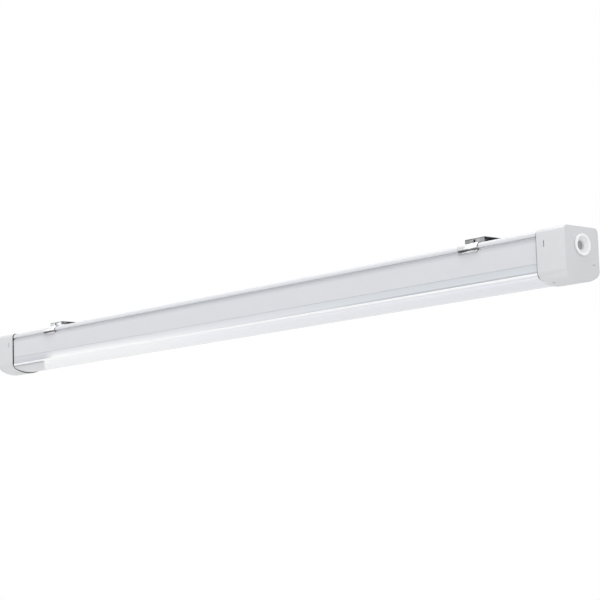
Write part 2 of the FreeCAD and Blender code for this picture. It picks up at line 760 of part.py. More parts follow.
# Gear tray: aluminium extrusion held by its edges in the housing's rails, with a rib each side of the driver
# and a channel below for the lamp boards
tray = new_piece("gear_tray")
section = new_sketch(tray, "tray_section", "YZ_Plane")
half_tray = [
    (CHANNEL, f"-{TRAY_FOOT}"),
    (CHANNEL, f"-{CHANNEL_LEDGE}"),
    (f"({CHANNEL} - channel_reach)", f"-{CHANNEL_LEDGE}"),
    (f"({CHANNEL} - channel_reach)", f"-({CHANNEL_LEDGE} + channel_lip)"),
    (f"({CHANNEL} + channel_lip)", f"-({CHANNEL_LEDGE} + channel_lip)"),
    (f"({CHANNEL} + channel_lip)", f"-{TRAY_FOOT}"),
    (TRAY_SIDE, f"-{TRAY_FOOT}"),
    (TRAY_SIDE, "-tray_drop"),
    (f"({TRAY_RIB} + tray_rib_thickness)", "-tray_drop"),
    (f"({TRAY_RIB} + tray_rib_thickness)", "-(tray_drop - tray_rib_height)"),
    (TRAY_RIB, "-(tray_drop - tray_rib_height)"),
    (TRAY_RIB, "-tray_drop"),
]
outline(section, left(half_tray) + half_tray[::-1])
pad(tray, section, f"2 * {TRAY_END}", both_ways=True)
hole = new_sketch(tray, "tray_screw_holes", "XY_Plane", "-tray_drop")
circle(hole, BOARD_SCREW, "screw_line", SCREW_HOLE)
circle(hole, f"-{BOARD_SCREW}", "-screw_line", SCREW_HOLE)
for foot in DRIVER_FEET:
    circle(hole, foot, "0", SCREW_HOLE)
outline(hole, box_outline(PLUG_PLACE, "0", "plug_port", "plug_port"))
cut(tray, hole, "2 * tray_thickness")

# Lamp boards: two aluminium-cored strips that slide into the tray's channel, end to end
for side, turned in SIDES:
    board = new_piece("led_board_" + side, turned)
    sketch = new_sketch(board, board.Name + "_outline", "XY_Plane", f"-{LAMP_FACE}")
    outline(sketch, [
        (BOARD_START, "-board_width / 2"),
        (BOARD_END, "-board_width / 2"),
        (BOARD_END, "board_width / 2"),
        (BOARD_START, "board_width / 2"),
    ])
    pad(board, sketch, "board_thickness")
    hole = new_sketch(board, board.Name + "_hole", "XY_Plane", f"-{TRAY_FOOT}")
    circle(hole, BOARD_SCREW, "screw_line", SCREW_HOLE)
    if side == "right":
        outline(hole, box_outline(PLUG_PLACE, "0", "plug_port", "plug_port"))
    cut(board, hole, "2 * board_thickness")

# Light sources: one row of packages on each board
leds = new_piece("leds")
for name, sign in (("right", ""), ("left", "-")):
    chip = new_sketch(leds, f"leds_{name}", "XY_Plane", f"-{LAMP_FACE}")
    outline(chip, box_outline(f"{sign}{LED_START}", "0", "led_length", "led_width"))
    chips = pad(leds, chip, "led_height", backwards=True)
    row_of(leds, [chips], LED_RUN, "led_count", backwards=bool(sign))

# Board screws: one at the outer end of each board, through it into the tray
screws = new_piece("board_screws")
for name, sign in (("right", ""), ("left", "-")):
    head = new_sketch(screws, f"board_screw_{name}_head", "XY_Plane", f"-{LAMP_FACE}")
    outline(head, hexagon(f"{sign}{BOARD_SCREW}", f"{sign}screw_line", "screw_head_width"))
    pad(screws, head, "screw_head_height", backwards=True)
    shank = new_sketch(screws, f"board_screw_{name}_shank", "XY_Plane", f"-{LAMP_FACE}")
    circle(shank, f"{sign}{BOARD_SCREW}", f"{sign}screw_line", "screw_radius")
    pad(screws, shank, "board_thickness + tray_thickness")

# Connectors under the boards: the link across their joint, and the plug that the driver's wires reach
for name, place, length in (("board_link", "0", "link_length"), ("lamp_plug", PLUG_PLACE, "plug_length")):
    shell = new_piece(name)
    sketch = new_sketch(shell, name + "_outline", "XY_Plane", f"-{LAMP_FACE}")
    outline(sketch, box_outline(place, "0", length, "link_width"))
    pad(shell, sketch, "link_height", backwards=True)
    foot = value(f"-{LAMP_FACE} - link_height")
    chamfer_edges(shell, name + "_edge", lambda edge: lies_at(edge, "Z", foot), "link_edge")

# Driver case: folded steel trough with a foot and a wire port at each end
case = new_piece("driver_case")
sketch = new_sketch(case, "case_outline", "XY_Plane", "-tray_drop")
outline(sketch, box_outline(DRIVER_PLACE, "0", "driver_length", "driver_width"))
pad(case, sketch, "driver_height - driver_sheet")
sketch = new_sketch(case, "case_hollow", "XY_Plane", CASE_TOP)
outline(sketch, box_outline(
    DRIVER_PLACE, "0", "driver_length - 2 * driver_sheet", "driver_width - 2 * driver_sheet",
))
cut(case, sketch, "driver_height - 2 * driver_sheet")
sketch = new_sketch(case, "case_feet", "XY_Plane", "-tray_drop")
outline(sketch, box_outline(DRIVER_PLACE, "0", "driver_length + 2 * driver_foot", "driver_width / 2"))
pad(case, sketch, "driver_sheet")
sketch = new_sketch(case, "case_foot_holes", "XY_Plane", "driver_sheet - tray_drop")
for foot in DRIVER_FEET:
    circle(sketch, foot, "0", SCREW_HOLE)
cut(case, sketch, "2 * driver_sheet")
sketch = new_sketch(case, "case_wire_ports", "YZ_Plane", DRIVER_PLACE)
outline(sketch, box_outline("0", WIRE_LINE, "wire_port_side", "wire_port_side"))
cut(case, sketch, "driver_length + overrun", both_ways=True)

# Driver lid: a steel plate on the case, with flanges inside its walls
lid = new_piece("driver_lid")
sketch = new_sketch(lid, "lid_outline", "XY_Plane", CASE_TOP)
outline(sketch, box_outline(DRIVER_PLACE, "0", "driver_length", "driver_width"))
pad(lid, sketch, "driver_sheet")
sketch = new_sketch(lid, "lid_flange", "XY_Plane", CASE_TOP)
FLANGE_LINE = "(driver_width / 2 - driver_sheet - driver_clearance - driver_sheet / 2)"
outline(sketch, box_outline(DRIVER_PLACE, FLANGE_LINE, "driver_length - 4 * driver_sheet", "driver_sheet"))
flange = pad(lid, sketch, "lid_flange", backwards=True)
mirror(lid, [flange], "XZ_Plane")

# Driver board: a circuit board standing on posts in the case
circuit = new_piece("driver_board")
CIRCUIT_FOOT = "(driver_sheet + circuit_rise - tray_drop)"
CIRCUIT_FACE = "(driver_sheet + circuit_rise + circuit_thickness - tray_drop)"
sketch = new_sketch(circuit, "circuit_outline", "XY_Plane", CIRCUIT_FOOT)
CIRCUIT_GAP = "(2 * driver_sheet + 2 * circuit_clearance)"
outline(sketch, box_outline(
    DRIVER_PLACE, "0", f"driver_length - {CIRCUIT_GAP}", f"driver_width - {CIRCUIT_GAP}",
))
pad(circuit, sketch, "circuit_thickness")
sketch = new_sketch(circuit, "circuit_posts", "XY_Plane", CIRCUIT_FOOT)
for end in (f"({DRIVER_START} + post_margin)", f"({DRIVER_END} - post_margin)"):
    for edge in ("-(driver_width / 2 - post_margin)", "(driver_width / 2 - post_margin)"):
        outline(sketch, box_outline(end, edge, "post_width", "post_width"))
pad(circuit, sketch, "circuit_rise", backwards=True)

# Driver parts: the transformer, a lying capacitor and a choke on the board
wound = new_piece("driver_parts")
sketch = new_sketch(wound, "transformer", "XY_Plane", CIRCUIT_FACE)
outline(sketch, box_outline(DRIVER_PLACE, "0", "transformer_length", "transformer_width"))
pad(wound, sketch, "transformer_height")
sketch = new_sketch(wound, "capacitor", "YZ_Plane", f"{DRIVER_PLACE} + capacitor_place")
circle(sketch, "0", f"{CIRCUIT_FACE} + capacitor_radius", "capacitor_radius")
pad(wound, sketch, "capacitor_length", both_ways=True)
sketch = new_sketch(wound, "choke", "XY_Plane", CIRCUIT_FACE)
circle(sketch, f"{DRIVER_PLACE} - choke_place", "0", "choke_radius")
pad(wound, sketch, "choke_height")

# Driver screws: one through each foot into the tray
screws = new_piece("driver_screws")
for name, foot in zip(("left", "right"), DRIVER_FEET):
    head = new_sketch(screws, f"driver_screw_{name}_head", "XY_Plane", "driver_sheet - tray_drop")
    outline(head, hexagon(foot, "0", "screw_head_width"))
    pad(screws, head, "screw_head_height")
    shank = new_sketch(screws, f"driver_screw_{name}_shank", "XY_Plane", "driver_sheet - tray_drop")
    circle(shank, foot, "0", "screw_radius")
    pad(screws, shank, "driver_sheet + tray_thickness", backwards=True)

# Terminal block: push-in poles facing the cap, with a release slot over each
block = new_piece("terminal_block")
sketch = new_sketch(block, "terminal_outline", "YZ_Plane", f"{BLOCK_END} - terminal_length")
outline(sketch, [
    ("-terminal_width / 2", "-tray_drop"),
    ("terminal_width / 2", "-tray_drop"),
    ("terminal_width / 2", "terminal_height - terminal_edge - tray_drop"),
    ("terminal_width / 2 - terminal_edge", "terminal_height - tray_drop"),
    ("-(terminal_width / 2 - terminal_edge)", "terminal_height - tray_drop"),
    ("-terminal_width / 2", "terminal_height - terminal_edge - tray_drop"),
])
pad(block, sketch, "terminal_length")
FIRST_POLE = "(pole_pitch * (pole_count - 1) / 2)"
sketch = new_sketch(block, "terminal_pole", "YZ_Plane", BLOCK_END)
outline(sketch, box_outline(f"-{FIRST_POLE}", "(pole_rise - tray_drop)", "pole_width", "pole_width"))
pole = cut(block, sketch, "pole_depth")
row_of(block, [pole], "pole_pitch * (pole_count - 1)", "pole_count", "Y_Axis")
sketch = new_sketch(block, "terminal_release", "XY_Plane", "terminal_height - tray_drop")
outline(sketch, box_outline(
    f"{BLOCK_END} - release_place", f"-{FIRST_POLE}", "release_length", "release_width",
))
release = cut(block, sketch, "release_depth")
row_of(block, [release], "pole_pitch * (pole_count - 1)", "pole_count", "Y_Axis")

# Mains wires: from the terminal block through the driver's near port
mains = new_piece("mains_wires")
sketch = new_sketch(mains, "mains_wire", "YZ_Plane", f"{BLOCK_END} - terminal_length")
outline(sketch, octagon("-(wire_pitch * (pole_count - 1) / 2)", WIRE_LINE, "wire_radius"))
wire = pad(mains, sketch, "driver_gap + wire_tail", backwards=True)
row_of(mains, [wire], "wire_pitch * (pole_count - 1)", "pole_count", "Y_Axis")

# Lamp wires: from the driver's far port along the tray, then down through it to the plug
lamp = new_piece("lamp_wires")
path = new_sketch(lamp, "lamp_wire_path", "XZ_Plane", "wire_pitch / 2")
outline(path, [
    (f"{DRIVER_START} + wire_tail", WIRE_LINE),
    (f"({PLUG_PLACE} + wire_bend)", WIRE_LINE),
    (PLUG_PLACE, f"({WIRE_LINE} - wire_bend)"),
    (PLUG_PLACE, f"-{LAMP_FACE}"),
], closed=False)
sketch = new_sketch(lamp, "lamp_wire_section", "YZ_Plane", f"{DRIVER_START} + wire_tail")
outline(sketch, octagon("-(wire_pitch / 2)", WIRE_LINE, "wire_radius"))
doc.recompute()
wire = lamp.newObject("PartDesign::AdditivePipe", "lamp_wire")
wire.Profile = sketch
wire.Spine = (path, [f"Edge{i}" for i in range(1, len(path.Shape.Edges) + 1)])
wire.Transition = "Right corner"
doc.recompute()
mirror(lamp, [wire], "XZ_Plane")

# Every object has to be sound before anything is written
doc.recompute()
for thing in doc.Objects:
    if {"Invalid", "Error"} & set(thing.State):
        raise RuntimeError(f"{thing.Name} failed: {thing.State}")
for piece in pieces:
    if piece.Shape.isNull() or not piece.Shape.isValid():
        raise RuntimeError(f"{piece.Label} has no valid shape")
os.makedirs("parts", exist_ok=True)
for piece in pieces:
    piece.Shape.exportStep(f"parts/{piece.Label}.step")
    print(piece.Label, len(piece.Shape.Solids), "solids,", round(piece.Shape.Volume), "cubic millimetres")
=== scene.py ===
import math
import bmesh
import bpy
from mathutils import Matrix, Vector


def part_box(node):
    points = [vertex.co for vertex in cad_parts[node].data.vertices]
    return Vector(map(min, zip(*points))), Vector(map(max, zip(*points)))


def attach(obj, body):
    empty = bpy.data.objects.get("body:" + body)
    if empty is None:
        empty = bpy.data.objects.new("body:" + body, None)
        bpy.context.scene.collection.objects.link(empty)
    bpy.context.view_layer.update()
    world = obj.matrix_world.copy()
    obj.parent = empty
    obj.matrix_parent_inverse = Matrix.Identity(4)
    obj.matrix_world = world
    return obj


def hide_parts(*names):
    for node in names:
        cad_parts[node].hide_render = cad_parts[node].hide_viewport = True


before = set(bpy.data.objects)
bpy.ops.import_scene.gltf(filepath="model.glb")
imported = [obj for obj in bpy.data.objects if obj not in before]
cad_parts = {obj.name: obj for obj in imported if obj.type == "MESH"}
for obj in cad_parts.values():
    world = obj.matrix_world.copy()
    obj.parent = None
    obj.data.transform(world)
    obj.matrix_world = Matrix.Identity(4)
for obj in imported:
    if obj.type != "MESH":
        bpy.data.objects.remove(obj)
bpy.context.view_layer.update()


# Housing: the opaque upper half of the tube, a polycarbonate extrusion cut to length. It has a groove under
# each top edge for the clips and rails inside for the gear tray. Its lower edges are bonded to the diffuser.
MM = 0.001
TUBE_LOW, TUBE_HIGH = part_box("housing")
TUBE_END = TUBE_HIGH.x
TOP = TUBE_HIGH.z
SEAM = TUBE_LOW.z
LIP = TUBE_HIGH.y
SIDE = LIP - 0.4 * MM
WALL = 2.0 * MM
BORE = SIDE - WALL
LIP_FOOT = TOP - 6.8 * MM
GROOVE_FOOT = LIP_FOOT - 3.0 * MM
GROOVE = LIP - 2.8 * MM
LIP_ROUND = 5.5 * MM
LIP_EDGE = 0.8 * MM
LIP_HOLLOW_ROUND = 2.1 * MM
GROOVE_EDGE = 0.3 * MM
RAIL_EDGE = BORE - 2.6 * MM
RAILS = ((36.55 * MM, 35.05 * MM), (33.25 * MM, 31.75 * MM))
SAME_PLACE = 0.01 * MM
WELD = 0.001 * MM
SMOOTH_BELOW = math.radians(35)
GREY_EXTRUSION = ("#DBDDE1", "#D7D9DD")
GROOVE_SHADE = "#C8CACF"
SHADE_RISES = (GROOVE_FOOT - 6.0 * MM, GROOVE_FOOT)
SHADE_ENDS = (GROOVE_FOOT + 0.5 * MM, GROOVE_FOOT)
DIE_LINE_LENGTH = 1000 / 3 * MM


def linear(code):
    """An sRGB hex colour as linear red, green and blue, with an alpha of 1."""
    shares = [int(code[i:i + 2], 16) / 255 for i in (1, 3, 5)]
    return [c / 12.92 if c <= 0.04045 else ((c + 0.055) / 1.055) ** 2.4 for c in shares] + [1.0]


def add(tree, kind, inputs=(), **settings):
    """Adds a node with its settings. An input is a value, an sRGB hex colour or another node's output."""
    node = tree.nodes.new(kind)
    for name, setting in settings.items():
        setattr(node, name, setting)
    for name, value in dict(inputs).items():
        if isinstance(value, bpy.types.NodeSocket):
            tree.links.new(value, node.inputs[name])
        else:
            node.inputs[name].default_value = linear(value) if isinstance(value, str) else value
    return node


def new_material(name, **sockets):
    """A material, with its tree, its shader and its Object coordinates. Its sockets get plain values."""
    material = bpy.data.materials.new(name)
    material.use_nodes = True
    tree = material.node_tree
    shader = tree.nodes["Principled BSDF"]
    for socket, value in sockets.items():
        shader.inputs[socket.replace("_", " ")].default_value = value
    return material, tree, shader, add(tree, "ShaderNodeTexCoord").outputs["Object"]


def mottle(tree, place, patch, colours):
    """A tone that drifts between two colours over patches of a size."""
    first, second = colours
    noise = add(tree, "ShaderNodeTexNoise", {"Vector": place, "Scale": 1 / patch, "Detail": 2.0})
    return add(tree, "ShaderNodeMix", {0: noise.outputs["Fac"], 6: first, 7: second},
               data_type="RGBA").outputs[2]


def blend(tree, value, span, first, second):
    """Goes smoothly from the first colour to the second while a value crosses a span."""
    start, end = span
    share = add(tree, "ShaderNodeMapRange", {"Value": value, "From Min": start, "From Max": end},
                interpolation_type="SMOOTHSTEP").outputs[0]
    return add(tree, "ShaderNodeMix", {0: share, 6: first, 7: second}, data_type="RGBA").outputs[2]


def grain(tree, shader, pattern, roughness, strength, depth):
    """Lets a pattern vary the roughness between two values and raise the surface by a depth."""
    least, most = roughness
    sheen = add(tree, "ShaderNodeMapRange", {"Value": pattern, "To Min": least, "To Max": most})
    tree.links.new(sheen.outputs[0], shader.inputs["Roughness"])
    bump = add(tree, "ShaderNodeBump", {"Height": pattern, "Strength": strength, "Distance": depth})
    tree.links.new(bump.outputs[0], shader.inputs["Normal"])


def die_lines(tree, shader, place, gap, roughness, depth):
    """Draws an extrusion's die lines, which run along it, in its sheen and relief."""
    scale = (1 / DIE_LINE_LENGTH, 1 / gap, 1 / gap)
    stretched = add(tree, "ShaderNodeMapping", {"Vector": place, "Scale": scale}).outputs[0]
    lines = add(tree, "ShaderNodeTexNoise", {"Vector": stretched, "Scale": 1.0, "Detail": 3.0})
    grain(tree, shader, lines.outputs["Fac"], roughness, strength=0.4, depth=depth)


def round_corners(bm, corners, radius, segments=8):
    """Rounds right-angled corners of an outline."""
    bmesh.ops.bevel(bm, geom=corners, offset=radius, offset_type="OFFSET", affect="VERTICES",
                    segments=segments, profile=0.5, material=-1)


def round_edges(bm, edges, radius, segments=4):
    """Rounds edges between faces."""
    bmesh.ops.recalc_face_normals(bm, faces=bm.faces[:])
    bmesh.ops.bevel(bm, geom=edges, offset=radius, offset_type="OFFSET", affect="EDGES",
                    segments=segments, profile=0.5, material=-1)


def vertices_at(bm, *places):
    """The vertices that stand at places across and up."""
    return [v for v in bm.verts for across, up in places
            if math.hypot(v.co.y - across, v.co.z - up) < SAME_PLACE]


def closed_outline(bm, places, along):
    """Draws a closed outline through places across and up, at a station along the light."""
    drawn = [bm.verts.new((along, *place)) for place in places]
    for pair in zip(drawn, drawn[1:] + drawn[:1]):
        bm.edges.new(pair)


def draw_out(bm, edges, length):
    """Draws edges out along the light, and returns the edges at the far end."""
    drawn = bmesh.ops.extrude_edge_only(bm, edges=edges)["geom"]
    moved = {item for item in drawn if isinstance(item, bmesh.types.BMVert)}
    bmesh.ops.translate(bm, verts=list(moved), vec=(length, 0, 0))
    return [item for item in drawn if isinstance(item, bmesh.types.BMEdge) and set(item.verts) <= moved]


def make_piece(bm, name, material, body, slot, *nodes):
    """Turns the mesh into a piece that rides on a body and stands for the CAD nodes named."""
    bmesh.ops.remove_doubles(bm, verts=bm.verts[:], dist=WELD)
    bmesh.ops.recalc_face_normals(bm, faces=bm.faces[:])
    mesh = bpy.data.meshes.new(name)
    bm.to_mesh(mesh)
    bm.free()
    mesh.shade_smooth()
    mesh.set_sharp_from_angle(angle=SMOOTH_BELOW)
    mesh.materials.append(material)
    piece = bpy.data.objects.new(name, mesh)
    bpy.context.scene.collection.objects.link(piece)
    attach(piece, body)
    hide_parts(*nodes)
    return piece


# Extruded polycarbonate is satin, with a slow drift in tone, and a soft shade lies below the groove. The die
# lines are drawn 1.5 mm apart, because real ones are too fine to show.
material, tree, shader, place = new_material("extruded_grey_polycarbonate", IOR=1.585)
height = add(tree, "ShaderNodeSeparateXYZ", {0: place}).outputs["Z"]
tone = mottle(tree, place, patch=90 * MM, colours=GREY_EXTRUSION)
shaded = blend(tree, height, SHADE_RISES, tone, GROOVE_SHADE)
tree.links.new(blend(tree, height, SHADE_ENDS, tone, shaded), shader.inputs["Base Color"])
die_lines(tree, shader, place, gap=1.5 * MM, roughness=(0.36, 0.46), depth=0.04 * MM)

outer = [
    (SIDE, SEAM), (SIDE, GROOVE_FOOT), (GROOVE, GROOVE_FOOT), (GROOVE, LIP_FOOT), (LIP, LIP_FOOT), (LIP, TOP),
]
inner = [(BORE, SEAM)]
for foot, head in RAILS:
    inner += [(BORE, TOP - foot), (RAIL_EDGE, TOP - foot), (RAIL_EDGE, TOP - head), (BORE, TOP - head)]
inner += [
    (BORE, GROOVE_FOOT - WALL), (GROOVE - WALL, GROOVE_FOOT - WALL), (GROOVE - WALL, LIP_FOOT + WALL),
    (LIP - WALL, LIP_FOOT + WALL), (LIP - WALL, TOP - WALL),
]
right_half = outer[::-1] + inner
left_half = [(-across, up) for across, up in right_half[::-1]]
bm = bmesh.new()
closed_outline(bm, right_half + left_half, -TUBE_END)
for (across, up), radius in (
    ((LIP, TOP), LIP_ROUND), ((LIP, LIP_FOOT), LIP_EDGE), ((SIDE, GROOVE_FOOT), GROOVE_EDGE),
    ((LIP - WALL, TOP - WALL), LIP_HOLLOW_ROUND),
):
    round_corners(bm, vertices_at(bm, (across, up), (-across, up)), radius)
near_end = bm.edges[:]
far_end = draw_out(bm, near_end, 2 * TUBE_END)
for edges in (near_end, far_end):
    bmesh.ops.contextual_create(bm, geom=edges)
make_piece(bm, "housing_extrusion", material, "housing", "housing", "housing")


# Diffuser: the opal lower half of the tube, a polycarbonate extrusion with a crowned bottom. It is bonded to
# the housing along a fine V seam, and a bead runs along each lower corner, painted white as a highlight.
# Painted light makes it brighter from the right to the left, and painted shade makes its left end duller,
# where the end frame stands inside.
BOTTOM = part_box("diffuser")[0].z
BELLY = 55.0 * MM
BELLY_CORNER = 5.6 * MM
CROWN_STEPS = 32
CORNER_STEPS = 8
BEAD_STEPS = 8
SEAM_NOTCH = 0.5 * MM
BEAD_RADIUS = 0.9 * MM
BEAD_PROUD = 0.35 * MM
BEAD_ANGLE = math.acos(1 - BEAD_PROUD / BEAD_RADIUS)
BEAD_RISE = BEAD_RADIUS * math.sin(BEAD_ANGLE)
# Painted shade: the left end is painted duller up to this station, with an edge that slants across the crown
END_SHADE_STATION = -464.0 * MM
END_SHADE_EDGE = 8.0 * MM
END_SHADE_SLANT = 1.45
STRIP_BRIGHTENS = (END_SHADE_STATION - END_SHADE_EDGE, END_SHADE_STATION + 30.0 * MM)
CROWN_BRIGHTENS = (END_SHADE_STATION - END_SHADE_EDGE - END_SHADE_SLANT * SIDE, END_SHADE_STATION - END_SHADE_SLANT * SIDE)
# Painted light: these stops brighten the strip, the corner and the crown from the right to the left
# Each stop is a station along the light, in metres, and the colour there
STRIP_HEAD = ((-0.3, "#DCDEE3"), (0.0, "#DBDDE2"), (0.53, "#D1D6DC"))
STRIP_FOOT = ((-0.3, "#FCFCFD"), (0.0, "#E8EAEF"), (0.3, "#DADEE4"), (0.53, "#D9DDE3"))
CORNER = ((-0.45, "#FDFDFE"), (-0.1, "#F6F7FA"), (0.0, "#F2F3F7"), (0.2, "#ECEEF3"), (0.53, "#E7EAF0"))
CROWN = (
    (-0.45, "#F8F9FB"), (-0.2, "#F6F8FA"), (-0.08, "#F1F3F8"), (0.13, "#EBEDF3"), (0.32, "#EAECF2"),
    (0.53, "#E8EAF1"),
)
# Painted shade, which darkens the strip into a crease above the bead, most towards the right
CREASE_SHADE = ((-0.15, "#FFFFFF"), (0.2, "#F0F0F0"), (0.36, "#D6D6D6"), (0.53, "#DADADA"))
# Painted shade: the colours of the duller left end
END_SHADE_HEAD = "#D3D4DB"
END_SHADE_FOOT = "#C6C7CF"
END_SHADE_CORNER = "#A9AAB1"
END_SHADE_CROWN = "#D3D4D9"
# Painted highlight along the bead
BEAD_HIGHLIGHT = "#FDFEFF"


def ramp(tree, value, stops, interpolation="LINEAR"):
    """Colours by a value, through stops that each have a value and an sRGB colour."""
    low, high = stops[0][0], stops[-1][0]
    share = add(tree, "ShaderNodeMapRange", {"Value": value, "From Min": low, "From Max": high}).outputs[0]
    node = add(tree, "ShaderNodeValToRGB", {0: share})
    node.color_ramp.interpolation = interpolation
    points = node.color_ramp.elements
    points.remove(points[1])
    for i, (stop, colour) in enumerate(stops):
        point = points.new((stop - low) / (high - low)) if i else points[0]
        point.color = linear(colour)
    return node.outputs[0]


def swept(bm, vertex, centre, angle, steps):
    """Sweeps an arc from a vertex about a centre, and returns the vertex at its end."""
    spun = bmesh.ops.spin(bm, geom=[vertex], cent=centre, axis=(1, 0, 0), angle=angle, steps=steps)
    return next(item for item in spun["geom_last"] if isinstance(item, bmesh.types.BMVert))


def crowned_bottom(bm, along, half, lowest, belly, corner):
    """Draws a crowned bottom and its two corners, from left to right, and returns its ends."""
    inset, reach = half - corner, belly - corner
    lean = math.asin(inset / reach)
    middle = lowest + belly
    bend = middle - reach * math.cos(lean)
    turn = math.pi / 2 - lean
    arcs = (
        (-inset, bend, turn, CORNER_STEPS), (0.0, middle, 2 * lean, CROWN_STEPS),
        (inset, bend, turn, CORNER_STEPS),
    )
    first = last = bm.verts.new((along, -half, bend))
    for across, up, angle, steps in arcs:
        last = swept(bm, last, (along, across, up), angle, steps)
    return first, last


bm = bmesh.new()
outer_ends = crowned_bottom(bm, -TUBE_END, SIDE, BOTTOM, BELLY, BELLY_CORNER)
inner_ends = crowned_bottom(bm, -TUBE_END, BORE, BOTTOM + WALL, BELLY - WALL, BELLY_CORNER - WALL)
corner_line = outer_ends[0].co.z
bead_line = corner_line + BEAD_RISE
for side, outer_end, inner_end in zip((-1, 1), outer_ends, inner_ends):
    centre = (-TUBE_END, side * (SIDE + BEAD_PROUD - BEAD_RADIUS), bead_line)
    chain = [swept(bm, outer_end, centre, side * 2 * BEAD_ANGLE, BEAD_STEPS)]
    for across, up in ((SIDE, SEAM - SEAM_NOTCH), (SIDE - SEAM_NOTCH, SEAM), (BORE, SEAM)):
        chain.append(bm.verts.new((-TUBE_END, side * across, up)))
    for pair in zip(chain, chain[1:] + [inner_end]):
        bm.edges.new(pair)
near_end = bm.edges[:]
far_end = draw_out(bm, near_end, 2 * TUBE_END)
for edges in (near_end, far_end):
    bmesh.ops.contextual_create(bm, geom=edges)

# Opal polycarbonate is smooth and rather glossy. Its colour is painted light and shade: the strip beside the
# seam darkens into a painted crease shade above the bead, the bead is a painted highlight, and below it the
# corner goes over into the crown. The die lines are drawn 1.5 mm apart too.
material, tree, shader, place = new_material("extruded_opal_polycarbonate", IOR=1.585)
crease_shade_falls = (corner_line + 4.0 * MM, corner_line + 2.4 * MM)
bead_starts = (corner_line + 1.5 * MM, corner_line + 1.2 * MM)
bead_stops = (corner_line - 0.8 * MM, corner_line - 1.4 * MM)
crown_starts = (corner_line - 1.0 * MM, corner_line - 5.0 * MM)
station = add(tree, "ShaderNodeSeparateXYZ", {0: place})
along, height = station.outputs["X"], station.outputs["Z"]
aside = add(tree, "ShaderNodeMath", {0: station.outputs["Y"]}, operation="ABSOLUTE").outputs[0]
slant = add(tree, "ShaderNodeMath", {0: aside, 1: -END_SHADE_SLANT, 2: along}, operation="MULTIPLY_ADD").outputs[0]
head = blend(tree, along, STRIP_BRIGHTENS, END_SHADE_HEAD, ramp(tree, along, STRIP_HEAD))
foot = blend(tree, along, STRIP_BRIGHTENS, END_SHADE_FOOT, ramp(tree, along, STRIP_FOOT))
corner = blend(tree, slant, CROWN_BRIGHTENS, END_SHADE_CORNER, ramp(tree, along, CORNER))
crown = blend(tree, slant, CROWN_BRIGHTENS, END_SHADE_CROWN, ramp(tree, along, CROWN))
strip = blend(tree, height, (SEAM, bead_line), head, foot)
strip_in_crease_shade = add(tree, "ShaderNodeMix", {0: 1.0, 6: strip, 7: ramp(tree, along, CREASE_SHADE)}, data_type="RGBA",
             blend_type="MULTIPLY").outputs[2]
crease_shaded = blend(tree, height, crease_shade_falls, strip, strip_in_crease_shade)
bead_highlighted = blend(tree, height, bead_starts, crease_shaded, BEAD_HIGHLIGHT)
lower = blend(tree, height, crown_starts, corner, crown)
tree.links.new(blend(tree, height, bead_stops, bead_highlighted, lower), shader.inputs["Base Color"])
die_lines(tree, shader, place, gap=1.5 * MM, roughness=(0.2, 0.28), depth=0.02 * MM)
make_piece(bm, "diffuser_extrusion", material, "housing", "diffuser", "diffuser")


# End frames: glass-filled nylon mouldings fixed in the tube's ends. Their tongues carry the catches that hold
# the caps, and they show only when a cap is pulled off.
FRAME_NYLON = ("#CFD0D2", "#C6C8CA")
MOULDED_PATCH = 40 * MM
TEXTURE_DEPTH = 0.05 * MM


def moulded_plastic(name, colours, roughness, texture, **sockets):
    """Moulded plastic: the mould's eroded texture gives an even grain in sheen and relief."""
    material, tree, shader, place = new_material(name, **sockets)
    tree.links.new(mottle(tree, place, MOULDED_PATCH, colours), shader.inputs["Base Color"])
    erosion = add(tree, "ShaderNodeTexNoise",
                  {"Vector": place, "Scale": 1 / texture, "Detail": 3.0, "Roughness": 0.6})
    grain(tree, shader, erosion.outputs["Fac"], roughness, strength=0.35, depth=TEXTURE_DEPTH)
    return material


def dress(material, *nodes):
    """Gives the material to CAD nodes whose shape is kept."""
    for node in nodes:
        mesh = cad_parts[node].data
        mesh.materials.clear()
        mesh.materials.append(material)


# The glass fibres leave the nylon matt. The mould's texture is drawn 0.8 mm wide here and 0.6 to 1.5 mm wide
# on the other moulded and painted pieces, because a real one is too fine to show.
frame_nylon = moulded_plastic(
    "glass_filled_nylon", FRAME_NYLON, roughness=(0.42, 0.56), texture=0.8 * MM, IOR=1.53)
dress(frame_nylon, "end_frame_left", "end_frame_right")


# Cap gaskets: rings of black EPDM between the tube's cut ends and the caps' rims. They end flush with the
# tube's lips, and a thin flange of each covers the cap's rim, so the left one shows as a dark line.
GASKET_LOW, GASKET_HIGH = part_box("cap_gasket_right")
CAP_LOW, CAP_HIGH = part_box("end_cap_right")
CAP_SIDE = CAP_HIGH.y
CAP_TOP = CAP_HIGH.z
CAP_FOOT = CAP_LOW.z
CAP_ROUND = 6.0 * MM
CAP_BELLY = 51.0 * MM
CAP_CORNER = 10.0 * MM
CAP_WALL = 2.2 * MM
GASKET_INSET = CAP_SIDE - GASKET_HIGH.y
GASKET_HOLE = CAP_WALL + 0.5 * MM
GASKET_EDGE = 0.2 * MM
GASKET_FLANGE = 0.3 * MM
GASKET_FLANGE_INSET = 0.45 * MM
GASKET_FLANGE_EDGE = 0.1 * MM
OUT_OF_PLANE = 10 * MM
EPDM = ("#1D1D1F", "#252628")


def cap_outline(bm, along, inset):
    """Draws the end cap's outline, drawn in by an inset, and returns its edges."""
    before = set(bm.edges)
    first, last = crowned_bottom(
        bm, along, CAP_SIDE - inset, CAP_FOOT + inset, CAP_BELLY - inset, CAP_CORNER - inset)
    tops = [bm.verts.new((along, end.co.y, CAP_TOP - inset)) for end in (first, last)]
    for pair in ((first, tops[0]), tops, (tops[1], last)):
        bm.edges.new(pair)
    round_corners(bm, tops, CAP_ROUND - inset)
    return [edge for edge in bm.edges if edge not in before]


